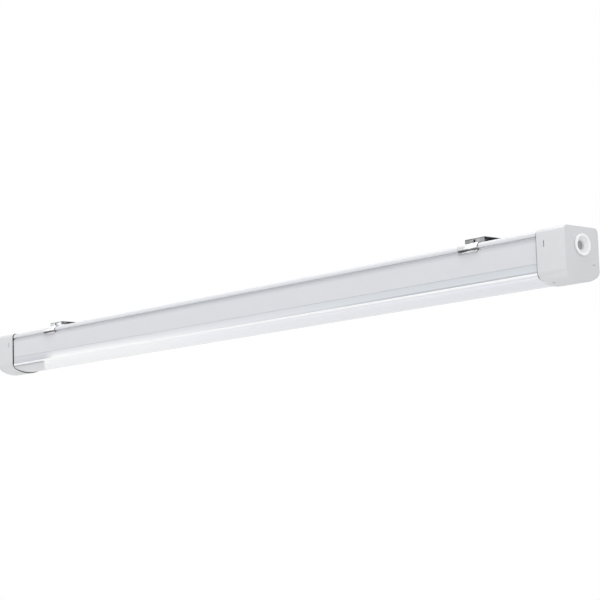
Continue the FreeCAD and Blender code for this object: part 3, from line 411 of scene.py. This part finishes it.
def face_left(bm, side):
    """Turns a right-hand mesh half round for the left end of the light."""
    if side == "left":
        bmesh.ops.rotate(bm, verts=bm.verts[:], cent=(0, 0, 0), matrix=Matrix.Rotation(math.pi, 3, "Z"))


def join_rings(bm, first, second):
    """Joins two rings of edges. One is moved off meanwhile, as rings in one plane could be joined wrongly."""
    moved = list({vert for edge in second for vert in edge.verts})
    bmesh.ops.translate(bm, verts=moved, vec=(-OUT_OF_PLANE, 0, 0))
    bmesh.ops.bridge_loops(bm, edges=first + second)
    bmesh.ops.translate(bm, verts=moved, vec=(OUT_OF_PLANE, 0, 0))


# Moulded EPDM is a dull black rubber
rubber = moulded_plastic("moulded_epdm_rubber", EPDM, roughness=(0.62, 0.78), texture=0.9 * MM, IOR=1.5)
for side in ("right", "left"):
    bm = bmesh.new()
    step = GASKET_HIGH.x - GASKET_FLANGE
    rings = [cap_outline(bm, along, inset) for along, inset in (
        (GASKET_LOW.x, GASKET_INSET), (step, GASKET_INSET), (step, GASKET_FLANGE_INSET),
        (GASKET_HIGH.x, GASKET_FLANGE_INSET), (GASKET_HIGH.x, GASKET_HOLE), (GASKET_LOW.x, GASKET_HOLE),
    )]
    for ring, following in zip(rings, rings[1:] + rings[:1]):
        join_rings(bm, ring, following)
    round_edges(bm, rings[0], GASKET_EDGE, segments=3)
    round_edges(bm, rings[2] + rings[3], GASKET_FLANGE_EDGE, segments=2)
    face_left(bm, side)
    make_piece(bm, f"gasket_{side}", rubber, "housing", "gasket", f"cap_gasket_{side}")


# End caps: moulded polycarbonate, a little larger than the tube, pushed over its ends until the catches click
# into the windows. Each has a seat for the grommet in its end wall and a slot beside it to pry the cap off.
def about(middle, length):
    """The two ends of a length about its middle."""
    return middle - length / 2, middle + length / 2


RIM = CAP_LOW.x
END = CAP_HIGH.x
CAP_END_WALL = 2.6 * MM
CAP_INNER_END = END - CAP_END_WALL
CAP_EDGE = 1.1 * MM
CAP_RIM_EDGE = 0.35 * MM
GROMMET_LOW, GROMMET_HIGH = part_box("cable_grommet_right")
GROMMET_LINE = (GROMMET_LOW.z + GROMMET_HIGH.z) / 2
SEAT_RADIUS = 10.7 * MM
WINDOWS = about(RIM + 11.0 * MM, 1.5 * MM)
SIDE_WINDOW = about(TOP - 16.6 * MM, 7.5 * MM)
BELLY_WINDOW = about(14.6 * MM, 4.5 * MM)
PRY_SLOT = (about(18.6 * MM, 5.0 * MM), about(TOP - 42.0 * MM, 1.6 * MM))
PRY_DEPTH = 1.2 * MM
RIB_WIDTH = 1.6 * MM
RIB_DEPTH = 1.2 * MM
RIB_PLACE = 17.0 * MM
RIB_HEIGHT = 56.2 * MM
# Shares of a face's normal, which find the flat side walls and the crowned belly for the windows
FLAT_ASIDE = 0.999
MOSTLY_DOWN = 0.8
HARDLY_ALONG = 0.1
CAP_GREY = ("#DADCDF", "#D7D9DC")


def ring_at(bm, along, radius):
    """Draws a circle round the grommet's line, and returns its edges."""
    place = Matrix.Translation((along, 0, GROMMET_LINE)) @ Matrix.Rotation(math.pi / 2, 4, "Y")
    drawn = bmesh.ops.create_circle(bm, segments=48, radius=radius, matrix=place)["verts"]
    return list({edge for vert in drawn for edge in vert.link_edges})


def add_box(bm, middle, size):
    """Adds a box about its middle."""
    bmesh.ops.create_cube(bm, size=1, matrix=Matrix.Translation(middle) @ Matrix.Diagonal((*size, 1)))


def cut_window(bm, is_wall, low, high, axis):
    """Cuts a window through both skins of a wall, between its stations and two lines across Y or Z."""
    spans = ((0, *WINDOWS), (axis, low, high))
    faces = [face for face in bm.faces if is_wall(face)]
    for way, start, end in spans:
        for line in (start, end):
            place, facing = Vector(), Vector()
            place[way], facing[way] = line, 1.0
            rims = {edge for face in faces for edge in face.edges}
            tips = {vert for face in faces for vert in face.verts}
            cut = bmesh.ops.bisect_plane(bm, geom=[*faces, *rims, *tips], plane_co=place, plane_no=facing)
            faces = [item for item in cut["geom"] if isinstance(item, bmesh.types.BMFace)]
    opened = {face for face in faces
              if all(start < face.calc_center_median()[way] < end for way, start, end in spans)}
    border = {edge for face in opened for edge in face.edges if not set(edge.link_faces) <= opened}
    bmesh.ops.delete(bm, geom=list(opened), context="FACES")
    bmesh.ops.bridge_loops(bm, edges=list(border))


# Moulded polycarbonate takes a satin skin from the mould, a little duller than the extruded tube's
cap_plastic = moulded_plastic(
    "moulded_grey_polycarbonate", CAP_GREY, roughness=(0.4, 0.5), texture=0.9 * MM, IOR=1.585)
for side in ("right", "left"):
    bm = bmesh.new()
    outer_rim = cap_outline(bm, RIM, 0)
    outer_end = draw_out(bm, outer_rim, END - RIM)
    bmesh.ops.contextual_create(bm, geom=outer_end)
    round_edges(bm, outer_end, CAP_EDGE)
    end_face = [face for face in bm.faces if all(abs(vert.co.x - END) < SAME_PLACE for vert in face.verts)]
    outer_end = list(end_face[0].edges)
    bmesh.ops.delete(bm, geom=end_face, context="FACES_ONLY")
    (left, right), (foot, head) = PRY_SLOT
    corners = ((left, foot), (right, foot), (right, head), (left, head))
    slot = [bm.verts.new((END, *corner)) for corner in corners]
    slot_rim = [bm.edges.new(pair) for pair in zip(slot, slot[1:] + slot[:1])]
    outer_seat = ring_at(bm, END, SEAT_RADIUS)
    bmesh.ops.triangle_fill(bm, edges=outer_end + slot_rim + outer_seat, use_beauty=True)
    bmesh.ops.contextual_create(bm, geom=draw_out(bm, slot_rim, -PRY_DEPTH))
    inner_rim = cap_outline(bm, RIM, CAP_WALL)
    inner_end = draw_out(bm, inner_rim, CAP_INNER_END - RIM)
    inner_seat = ring_at(bm, CAP_INNER_END, SEAT_RADIUS)
    bmesh.ops.triangle_fill(bm, edges=inner_end + inner_seat, use_beauty=True)
    bmesh.ops.bridge_loops(bm, edges=outer_seat + inner_seat)
    join_rings(bm, outer_rim, inner_rim)
    round_edges(bm, outer_rim, CAP_RIM_EDGE, segments=2)
    bm.normal_update()
    for sign in (1, -1):
        cut_window(bm, lambda face: abs(face.normal.y) > FLAT_ASIDE
                   and face.calc_center_median().y * sign > BORE, *SIDE_WINDOW, axis=2)
        low, high = sorted(sign * line for line in BELLY_WINDOW)
        cut_window(bm, lambda face: abs(face.normal.z) > MOSTLY_DOWN and abs(face.normal.x) < HARDLY_ALONG
                   and face.calc_center_median().z < SEAM, low, high, axis=1)
    for across in (RIB_PLACE, -RIB_PLACE):
        middle = (CAP_INNER_END - RIB_DEPTH / 2, across, (TOP + BOTTOM) / 2)
        add_box(bm, middle, (RIB_DEPTH, RIB_WIDTH, RIB_HEIGHT))
    face_left(bm, side)
    make_piece(bm, f"cap_{side}", cap_plastic, f"cap_{side}", "cap", f"end_cap_{side}")


# Cable grommets: soft white TPE, round in shape, snapped through the caps' end walls by four lugs. The
# dished face guides a cable to the entry, which a thin floor keeps closed until it is pierced.
GROMMET_FACE = GROMMET_HIGH.x
GROMMET_RADIUS = GROMMET_HIGH.y
GROMMET_NECK = 10.6 * MM
FUNNEL = 10.2 * MM
THROAT = GROMMET_FACE - 4.2 * MM
ENTRY = 5.25 * MM
ENTRY_FLOOR = THROAT - 3.0 * MM
GROMMET_EDGE = 0.7 * MM
FUNNEL_EDGE = 0.5 * MM
UNDERCUT = 0.5 * MM
LUG_REACH = 1.6 * MM
LUG_WIDTH = 5.0 * MM
LUG_LENGTH = 2.0 * MM
LUG_GAP = 0.1 * MM
WHITE_TPE = "#FEFEFE"
# Painted shade in the funnel, at the entry's floor and in the undercut
FUNNEL_SHADE = "#EDEDEF"
ENTRY_SHADE = "#A3A4A8"
UNDERCUT_SHADE = "#A0A1A5"
RIM_STARTS = (FUNNEL - 0.6 * MM, FUNNEL)
RIM_STOPS = (FUNNEL, FUNNEL + 0.6 * MM)
UNDERCUT_DARKENS = (END + UNDERCUT, END + UNDERCUT / 2)
FLOOR_DARKENS = (ENTRY_FLOOR + 0.6 * MM, ENTRY_FLOOR)

# Moulded TPE has a soft satin skin, whose grain is drawn 0.9 mm wide, because a real one is too fine to
# show. The rim is white, and painted shade makes the funnel a little darker, greys the undercut and darkens
# the entry's floor.
white_rubber, tree, shader, place = new_material("moulded_white_tpe", IOR=1.5)
station = add(tree, "ShaderNodeSeparateXYZ", {0: place})
depth = add(tree, "ShaderNodeMath", {0: station.outputs["X"]}, operation="ABSOLUTE").outputs[0]
height = add(tree, "ShaderNodeMath", {0: station.outputs["Z"], 1: GROMMET_LINE}, operation="SUBTRACT")
offset = add(tree, "ShaderNodeCombineXYZ", {"X": station.outputs["Y"], "Y": height.outputs[0]}).outputs[0]
radius = add(tree, "ShaderNodeVectorMath", {0: offset}, operation="LENGTH").outputs["Value"]
rim = blend(tree, radius, RIM_STARTS, FUNNEL_SHADE, WHITE_TPE)
undercut_shaded = blend(tree, radius, RIM_STOPS, rim, UNDERCUT_SHADE)
tone = blend(tree, depth, UNDERCUT_DARKENS, rim, undercut_shaded)
tree.links.new(blend(tree, depth, FLOOR_DARKENS, tone, ENTRY_SHADE), shader.inputs["Base Color"])
skin = add(tree, "ShaderNodeTexNoise", {"Vector": place, "Scale": 1 / (0.9 * MM), "Detail": 2.0})
grain(tree, shader, skin.outputs["Fac"], roughness=(0.42, 0.52), strength=0.3, depth=0.04 * MM)
for side in ("right", "left"):
    bm = bmesh.new()
    funnel_rim, funnel_foot = (GROMMET_FACE, FUNNEL), (THROAT, ENTRY)
    outer_edge = (GROMMET_FACE, GROMMET_RADIUS)
    profile = [
        (GROMMET_LOW.x, 0), (GROMMET_LOW.x, GROMMET_NECK), (END, GROMMET_NECK),
        (END, GROMMET_RADIUS - 2 * UNDERCUT), (END + UNDERCUT, GROMMET_RADIUS), outer_edge,
        funnel_rim, funnel_foot, (ENTRY_FLOOR, ENTRY), (ENTRY_FLOOR, 0),
    ]
    drawn = {spot: bm.verts.new((spot[0], 0, GROMMET_LINE + spot[1])) for spot in profile}
    for start, end in zip(profile, profile[1:]):
        bm.edges.new((drawn[start], drawn[end]))
    round_corners(bm, [drawn[outer_edge]], GROMMET_EDGE, segments=5)
    round_corners(bm, [drawn[funnel_rim], drawn[funnel_foot]], FUNNEL_EDGE, segments=3)
    bmesh.ops.spin(bm, geom=bm.edges[:] + bm.verts[:], cent=(0, 0, GROMMET_LINE), axis=(1, 0, 0),
                   angle=2 * math.pi, steps=72, use_merge=True)
    lug_middle = GROMMET_NECK - LUG_REACH / 2
    behind = CAP_INNER_END - LUG_GAP - LUG_LENGTH / 2
    for sign in (1, -1):
        add_box(bm, (behind, sign * lug_middle, GROMMET_LINE), (LUG_LENGTH, 3 * LUG_REACH, LUG_WIDTH))
        add_box(bm, (behind, 0, GROMMET_LINE + sign * lug_middle), (LUG_LENGTH, LUG_WIDTH, 3 * LUG_REACH))
    face_left(bm, side)
    make_piece(bm, f"grommet_{side}", white_rubber, f"cap_{side}", "grommet", f"cable_grommet_{side}")


# Mounting clips: spring steel strip, pierced and bent. The channel on top is screwed to the ceiling, and
# the arms snap over the housing's lips, with noses that press into the grooves. The hanger holes are drawn
# inwards to collars.
CLIP_LOW, CLIP_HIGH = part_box("mounting_clip_right")
CLIP_MIDDLE = (CLIP_LOW.x + CLIP_HIGH.x) / 2
CLIP_HALF = (CLIP_HIGH.x - CLIP_LOW.x) / 2
STRIP = 0.6 * MM
CLIP_CROWN = -STRIP / 2
OVER_TOP = 0.2 * MM + STRIP / 2
FLANGE = 15.8 * MM - STRIP / 2
ARM = LIP + OVER_TOP
ARM_FOOT = TOP - 6.7 * MM
NOSE_TIP = (LIP - 1.0 * MM, TOP - 8.1 * MM)
TAIL_TIP = (LIP + 1.7 * MM, TOP - 10.8 * MM)
CLIP_BEND = 1.1 * MM
NOSE_BEND = 0.5 * MM
SCREW_HOLE = 2.25 * MM
HANGER_HOLE = 1.75 * MM
HANGER_LINE = TOP + 4.6 * MM
COLLAR = 2.5 * MM
STEEL = ("#A8A9AA", "#929396")
# Painted light and shade on the clips: the left clip's light, the shade at the bends, the arms' highlight,
# the shade at their cut ends, the noses and the inside, and the tails' paler grey
LIT_STEEL = "#D4D5D6"
BEND_SHADE = "#707173"
ARM_HIGHLIGHT = "#F0F0F0"
INSIDE_SHADE = "#2A2B2D"
UNDER_CROWN_SHADE = "#77787A"
ARM_END_SHADE = "#4C4D50"
NOSE_SHADE = "#7C7D80"
TAIL_GREY = "#C9C9CA"
LEFT_TO_RIGHT = (-LIP, LIP)
BEND_RISES = (-1.7 * MM, -1.2 * MM)
BEND_SIDE = (FLANGE - 0.5 * MM, FLANGE)
ARM_END_DARKENS = (CLIP_HALF - 0.4 * MM, CLIP_HALF - 0.2 * MM)
ARM_STARTS = (FLANGE + 1.5 * MM, FLANGE + 3.0 * MM)
NOSE_STARTS = (TOP - 5.6 * MM, TOP - 6.4 * MM)
TAIL_STARTS = (TOP - 8.3 * MM, TOP - 9.3 * MM)
INSIDE_SHADE_LIFTS = (-1.6 * MM, -STRIP)
UNDER_CROWN = (CLIP_CROWN - 0.1 * MM, CLIP_CROWN - 0.2 * MM)
BETWEEN_FLANGES = (FLANGE - 0.05 * MM, FLANGE - 0.15 * MM)
STREAK_LENGTH = 9 * MM
STREAK_WIDTH = 1 * MM


def rolled_steel(name, colours):
    """Cold-rolled steel: a mottled metal with rolling streaks along the strip. Its tone is returned too."""
    material, tree, shader, place = new_material(name, Metallic=1.0)
    tone = mottle(tree, place, patch=6 * MM, colours=colours)
    tree.links.new(tone, shader.inputs["Base Color"])
    scale = (1 / STREAK_LENGTH, 1 / STREAK_WIDTH, 1 / STREAK_WIDTH)
    stretched = add(tree, "ShaderNodeMapping", {"Vector": place, "Scale": scale}).outputs[0]
    streaks = add(tree, "ShaderNodeTexNoise", {"Vector": stretched, "Scale": 1.0, "Detail": 4.0})
    grain(tree, shader, streaks.outputs["Fac"], roughness=(0.3, 0.5), strength=0.4, depth=0.03 * MM)
    return material, tree, shader, place, tone


def pierce(bm, radius, middle, turn, near):
    """Pierces a round hole in the flat face whose centre is nearest to a place, and returns its edges."""
    wall = min(bm.faces, key=lambda face: (face.calc_center_median() - near).length)
    rim = list(wall.edges)
    bmesh.ops.delete(bm, geom=[wall], context="FACES_ONLY")
    place = Matrix.Translation(middle) @ turn
    drawn = bmesh.ops.create_circle(bm, segments=32, radius=radius, matrix=place)["verts"]
    hole = list({edge for vert in drawn for edge in vert.link_edges})
    bmesh.ops.triangle_fill(bm, edges=rim + hole, use_beauty=True)
    return hole


# Rolled steel has streaks, drawn 1 mm wide, because real ones are too fine to show. Painted light makes the
# left clip brighter than the right one, and painted shade darkens the channel's upper bends. The arms carry a
# painted highlight where they curve over the lips, with painted shade along their cut ends. The noses and the
# channel's inside are painted dark as shade, and the tails a paler grey as painted light.
spring_steel, tree, shader, place, tone = rolled_steel("cold_rolled_spring_steel", STEEL)
station = add(tree, "ShaderNodeSeparateXYZ", {0: place})
aside = add(tree, "ShaderNodeMath", {0: station.outputs["Y"]}, operation="ABSOLUTE").outputs[0]
height = station.outputs["Z"]
along = add(tree, "ShaderNodeMath", {0: station.outputs["X"]}, operation="ABSOLUTE").outputs[0]
from_middle = add(tree, "ShaderNodeMath", {0: along, 1: CLIP_MIDDLE}, operation="SUBTRACT").outputs[0]
reach = add(tree, "ShaderNodeMath", {0: from_middle}, operation="ABSOLUTE").outputs[0]
tone = blend(tree, station.outputs["X"], LEFT_TO_RIGHT, LIT_STEEL, tone)
bend_shaded = blend(tree, height, BEND_RISES, tone, BEND_SHADE)
tone = blend(tree, aside, BEND_SIDE, tone, bend_shaded)
arm = blend(tree, reach, ARM_END_DARKENS, ARM_HIGHLIGHT, ARM_END_SHADE)
tone = blend(tree, aside, ARM_STARTS, tone, arm)
nose = blend(tree, height, TAIL_STARTS, NOSE_SHADE, TAIL_GREY)
tone = blend(tree, height, NOSE_STARTS, tone, nose)
inside_shade_tone = blend(tree, height, INSIDE_SHADE_LIFTS, INSIDE_SHADE, UNDER_CROWN_SHADE)
inside_shaded = blend(tree, height, UNDER_CROWN, tone, inside_shade_tone)
tree.links.new(blend(tree, aside, BETWEEN_FLANGES, tone, inside_shaded), shader.inputs["Base Color"])
for side, sign in (("right", 1), ("left", -1)):
    bm = bmesh.new()
    crown_bend, flange_foot = (FLANGE, CLIP_CROWN), (FLANGE, TOP + OVER_TOP)
    shoulder, arm_foot = (ARM, TOP + OVER_TOP), (ARM, ARM_FOOT)
    half_strip = [crown_bend, flange_foot, shoulder, arm_foot, NOSE_TIP, TAIL_TIP]
    places = [(-across, up) for across, up in half_strip[::-1]] + half_strip
    drawn = [bm.verts.new((sign * CLIP_MIDDLE - CLIP_HALF, *place)) for place in places]
    for pair in zip(drawn, drawn[1:]):
        bm.edges.new(pair)
    for corners, radius in (
        ((crown_bend, flange_foot), CLIP_BEND), ((shoulder,), LIP_ROUND + OVER_TOP),
        ((arm_foot, NOSE_TIP), NOSE_BEND),
    ):
        both_sides = [(s * across, up) for s in (1, -1) for across, up in corners]
        round_corners(bm, vertices_at(bm, *both_sides), radius)
    draw_out(bm, bm.edges[:], 2 * CLIP_HALF)
    middle = Vector((sign * CLIP_MIDDLE, 0, CLIP_CROWN))
    pierce(bm, SCREW_HOLE, middle, Matrix(), middle)
    for way in (1, -1):
        near = Vector((middle.x, way * FLANGE, (CLIP_CROWN + TOP + OVER_TOP) / 2))
        hanger = Vector((middle.x, way * FLANGE, HANGER_LINE))
        rim = pierce(bm, HANGER_HOLE + STRIP / 2, hanger, Matrix.Rotation(math.pi / 2, 4, "X"), near)
        collar = bmesh.ops.extrude_edge_only(bm, edges=rim)["geom"]
        collar_end = [item for item in collar if isinstance(item, bmesh.types.BMVert)]
        bmesh.ops.translate(bm, verts=collar_end, vec=(0, -way * COLLAR, 0))
    clip = make_piece(bm, f"clip_{side}", spring_steel, f"clip_{side}", "clip", f"mounting_clip_{side}")
    thickness = clip.modifiers.new("strip", "SOLIDIFY")
    thickness.thickness = STRIP
    thickness.offset = 0.0
    thickness.use_even_offset = True


# Gear tray: an aluminium extrusion, which slides on the housing's rails and carries everything inside. Its
# channel holds the lamp boards.
MILL_ALUMINIUM = ("#C9CBCD", "#BFC1C4")

# Mill finish is a greyish metal with streaks from the die. They are drawn 1 mm apart, because real ones are
# too fine to show.
material, tree, shader, place = new_material("mill_finish_aluminium", Metallic=1.0)
tone = mottle(tree, place, patch=60 * MM, colours=MILL_ALUMINIUM)
tree.links.new(tone, shader.inputs["Base Color"])
die_lines(tree, shader, place, gap=1.0 * MM, roughness=(0.3, 0.48), depth=0.03 * MM)
dress(material, "gear_tray")


# Lamp boards and light sources: aluminium-cored strips with a white solder mask, and a row of yellow phosphor
# packages on each. They slide into the tray's channel, and a screw at the outer end keeps each in place.
SOLDER_WHITE = ("#F1F1EE", "#EBEBE8")
PHOSPHOR = ("#F2DB7A", "#EBCF62")
ZINC = ("#BFC2C6", "#AEB1B6")

# Solder mask is a smooth white lacquer, phosphor is set in glossy yellow silicone, and zinc plate is a bluish
# metal
board_white = moulded_plastic("white_solder_mask", SOLDER_WHITE, roughness=(0.3, 0.42), texture=1.2 * MM)
dress(board_white, "led_board_left", "led_board_right")
phosphor = moulded_plastic("phosphor_silicone", PHOSPHOR, roughness=(0.25, 0.35), texture=0.6 * MM, IOR=1.41)
dress(phosphor, "leds")
dress(rolled_steel("zinc_plated_steel", ZINC)[0], "board_screws", "driver_screws")


# Connectors: nylon mouldings. One links the two boards, one takes the driver's output wires, and the terminal
# block takes the mains.
NYLON = ("#EDEBE4", "#E6E3DB")

# Unfilled nylon is off white and satin
nylon = moulded_plastic("moulded_nylon", NYLON, roughness=(0.34, 0.46), texture=0.7 * MM, IOR=1.53)
dress(nylon, "board_link", "lamp_plug", "terminal_block")


# Driver: a folded steel case and lid in white powder coat, with a green circuit board on posts that carries
# the transformer, the capacitor and the choke.
POWDER_WHITE = ("#E9E9E8", "#E4E4E3")
SOLDER_GREEN = ("#1F5C38", "#1A5030")
POTTED_BLACK = ("#2E2F31", "#26272A")

# Powder coat has the low waves of orange peel, solder mask is a smooth lacquer, and potting resin is satin
powder_coat = moulded_plastic("white_powder_coat", POWDER_WHITE, roughness=(0.38, 0.55), texture=1.4 * MM)
board_green = moulded_plastic("green_solder_mask", SOLDER_GREEN, roughness=(0.25, 0.35), texture=1.2 * MM)
potting_resin = moulded_plastic("potting_resin", POTTED_BLACK, roughness=(0.35, 0.5), texture=1.5 * MM)
dress(powder_coat, "driver_case", "driver_lid")
dress(board_green, "driver_board")
dress(potting_resin, "driver_parts")


# Wires: single cores in PVC. The mains wires are brown, yellow with green, and blue, side by side, and the
# two lamp wires are red and black.
WIRE_GAP = 3.2 * MM
MAINS_COLOURS = ("#5A3B28", "#B9B32E", "#2C5C9E")
LAMP_COLOURS = ("#26272A", "#A8302C")


def wire_insulation(name, colours):
    """PVC insulation, with each core in its own colour by its place across the tube."""
    material, tree, shader, place = new_material(name, IOR=1.53)
    across = add(tree, "ShaderNodeSeparateXYZ", {0: place}).outputs["Y"]
    first = -WIRE_GAP * len(colours) / 2
    stops = [(first + WIRE_GAP * i, colour) for i, colour in enumerate((*colours, colours[-1]))]
    tree.links.new(ramp(tree, across, stops, "CONSTANT"), shader.inputs["Base Color"])
    skin = add(tree, "ShaderNodeTexNoise", {"Vector": place, "Scale": 1 / (1.5 * MM), "Detail": 2.0})
    grain(tree, shader, skin.outputs["Fac"], roughness=(0.28, 0.4), strength=0.3, depth=0.03 * MM)
    return material


# PVC is smooth and slightly glossy. Its grain is drawn 1.5 mm wide, because a real one is too fine to show.
dress(wire_insulation("pvc_mains_wires", MAINS_COLOURS), "mains_wires")
dress(wire_insulation("pvc_lamp_wires", LAMP_COLOURS), "lamp_wires")


# Room: a pale floor at a room's depth below the light, plain soft lamps, and white all round. The floor lets
# a camera below it see through. Each lamp has a place and a size in metres and a power in watts.
FLOOR_DEPTH = 2.4
FLOOR_SIZE = 40.0
FLOOR_PALE = ("#EDEDEC", "#F2F2F1")
FLOOR_GLOW = 0.4
WORLD_LEVEL = 0.6
LAMPS = (
    ("lamp_above", (0.0, -0.3, 1.8), (2.4, 1.2), 26.0),
    ("lamp_below", (-0.3, -0.5, -1.6), (2.0, 1.0), 6.4),
    ("lamp_front", (-0.15, -2.2, -0.2), (1.8, 1.6), 9.4),
    ("lamp_right", (2.3, -0.6, 0.1), (1.2, 1.2), 10.4),
    ("lamp_left", (-2.3, -0.6, 0.1), (1.2, 1.2), 2.2),
)

bm = bmesh.new()
bmesh.ops.create_grid(bm, x_segments=1, y_segments=1, size=FLOOR_SIZE / 2,
                      matrix=Matrix.Translation((0, 0, -FLOOR_DEPTH)))
mesh = bpy.data.meshes.new("floor")
bm.to_mesh(mesh)
bm.free()
floor = bpy.data.objects.new("floor", mesh)
bpy.context.scene.collection.objects.link(floor)


def seen(tree):
    """1 for what a camera, a reflection or a clear material shows, and 0 for light that falls on a piece."""
    rays = add(tree, "ShaderNodeLightPath").outputs
    direct = add(tree, "ShaderNodeMath", {0: rays["Is Camera Ray"], 1: rays["Is Glossy Ray"]},
                 operation="MAXIMUM").outputs[0]
    return add(tree, "ShaderNodeMath", {0: direct, 1: rays["Is Transmission Ray"]},
               operation="MAXIMUM").outputs[0]


# The floor looks nearly white, and keeps the shadow
material, tree, shader, place = new_material("pale_floor", Roughness=0.8, Emission_Color=(1, 1, 1, 1))
glow = add(tree, "ShaderNodeMath", {0: seen(tree), 1: FLOOR_GLOW}, operation="MULTIPLY").outputs[0]
tree.links.new(glow, shader.inputs["Emission Strength"])
tree.links.new(mottle(tree, place, patch=300 * MM, colours=FLOOR_PALE), shader.inputs["Base Color"])
below = add(tree, "ShaderNodeNewGeometry").outputs["Backfacing"]
clear = add(tree, "ShaderNodeBsdfTransparent").outputs[0]
through = add(tree, "ShaderNodeMixShader", {0: below, 1: shader.outputs[0], 2: clear})
tree.links.new(through.outputs[0], tree.nodes["Material Output"].inputs["Surface"])
mesh.materials.append(material)

# The world is white to the camera and in reflections, and lights the piece at a lower level
world = bpy.data.worlds.new("room")
bpy.context.scene.world = world
world.use_nodes = True
tree = world.node_tree
level = add(tree, "ShaderNodeMapRange", {"Value": seen(tree), "To Min": WORLD_LEVEL, "To Max": 1.0})
white = tree.nodes["Background"]
white.inputs["Color"].default_value = (1, 1, 1, 1)
tree.links.new(level.outputs[0], white.inputs["Strength"])

for name, place, size, power in LAMPS:
    light = bpy.data.lights.new(name, "AREA")
    light.shape = "RECTANGLE"
    light.size, light.size_y = size
    light.energy = power
    lamp = bpy.data.objects.new(name, light)
    lamp.location = place
    lamp.rotation_euler = (-Vector(place)).to_track_quat("-Z", "Y").to_euler()
    bpy.context.scene.collection.objects.link(lamp)


# Camera: at the right-hand front, a little below the light and slightly rolled, as in the photograph.
CAMERA_PLACE = Vector((1.8632, -1.5060, -0.3369))
CAMERA_LENS = 105.6
CAMERA_AZIMUTH = math.radians(49.246)
CAMERA_ELEVATION = math.radians(-7.521)
CAMERA_ROLL = math.radians(-1.751)

back = Vector((
    math.sin(CAMERA_AZIMUTH) * math.cos(CAMERA_ELEVATION),
    -math.cos(CAMERA_AZIMUTH) * math.cos(CAMERA_ELEVATION),
    math.sin(CAMERA_ELEVATION),
))
turned = back.to_track_quat("Z", "Y").to_matrix() @ Matrix.Rotation(CAMERA_ROLL, 3, "Z")
camera = bpy.data.objects.new("camera", bpy.data.cameras.new("camera"))
camera.data.lens = CAMERA_LENS
camera.location = CAMERA_PLACE
camera.rotation_euler = turned.to_euler()
bpy.context.scene.collection.objects.link(camera)
bpy.context.scene.camera = camera
bpy.context.scene.view_settings.view_transform = "Standard"

bpy.context.view_layer.update()
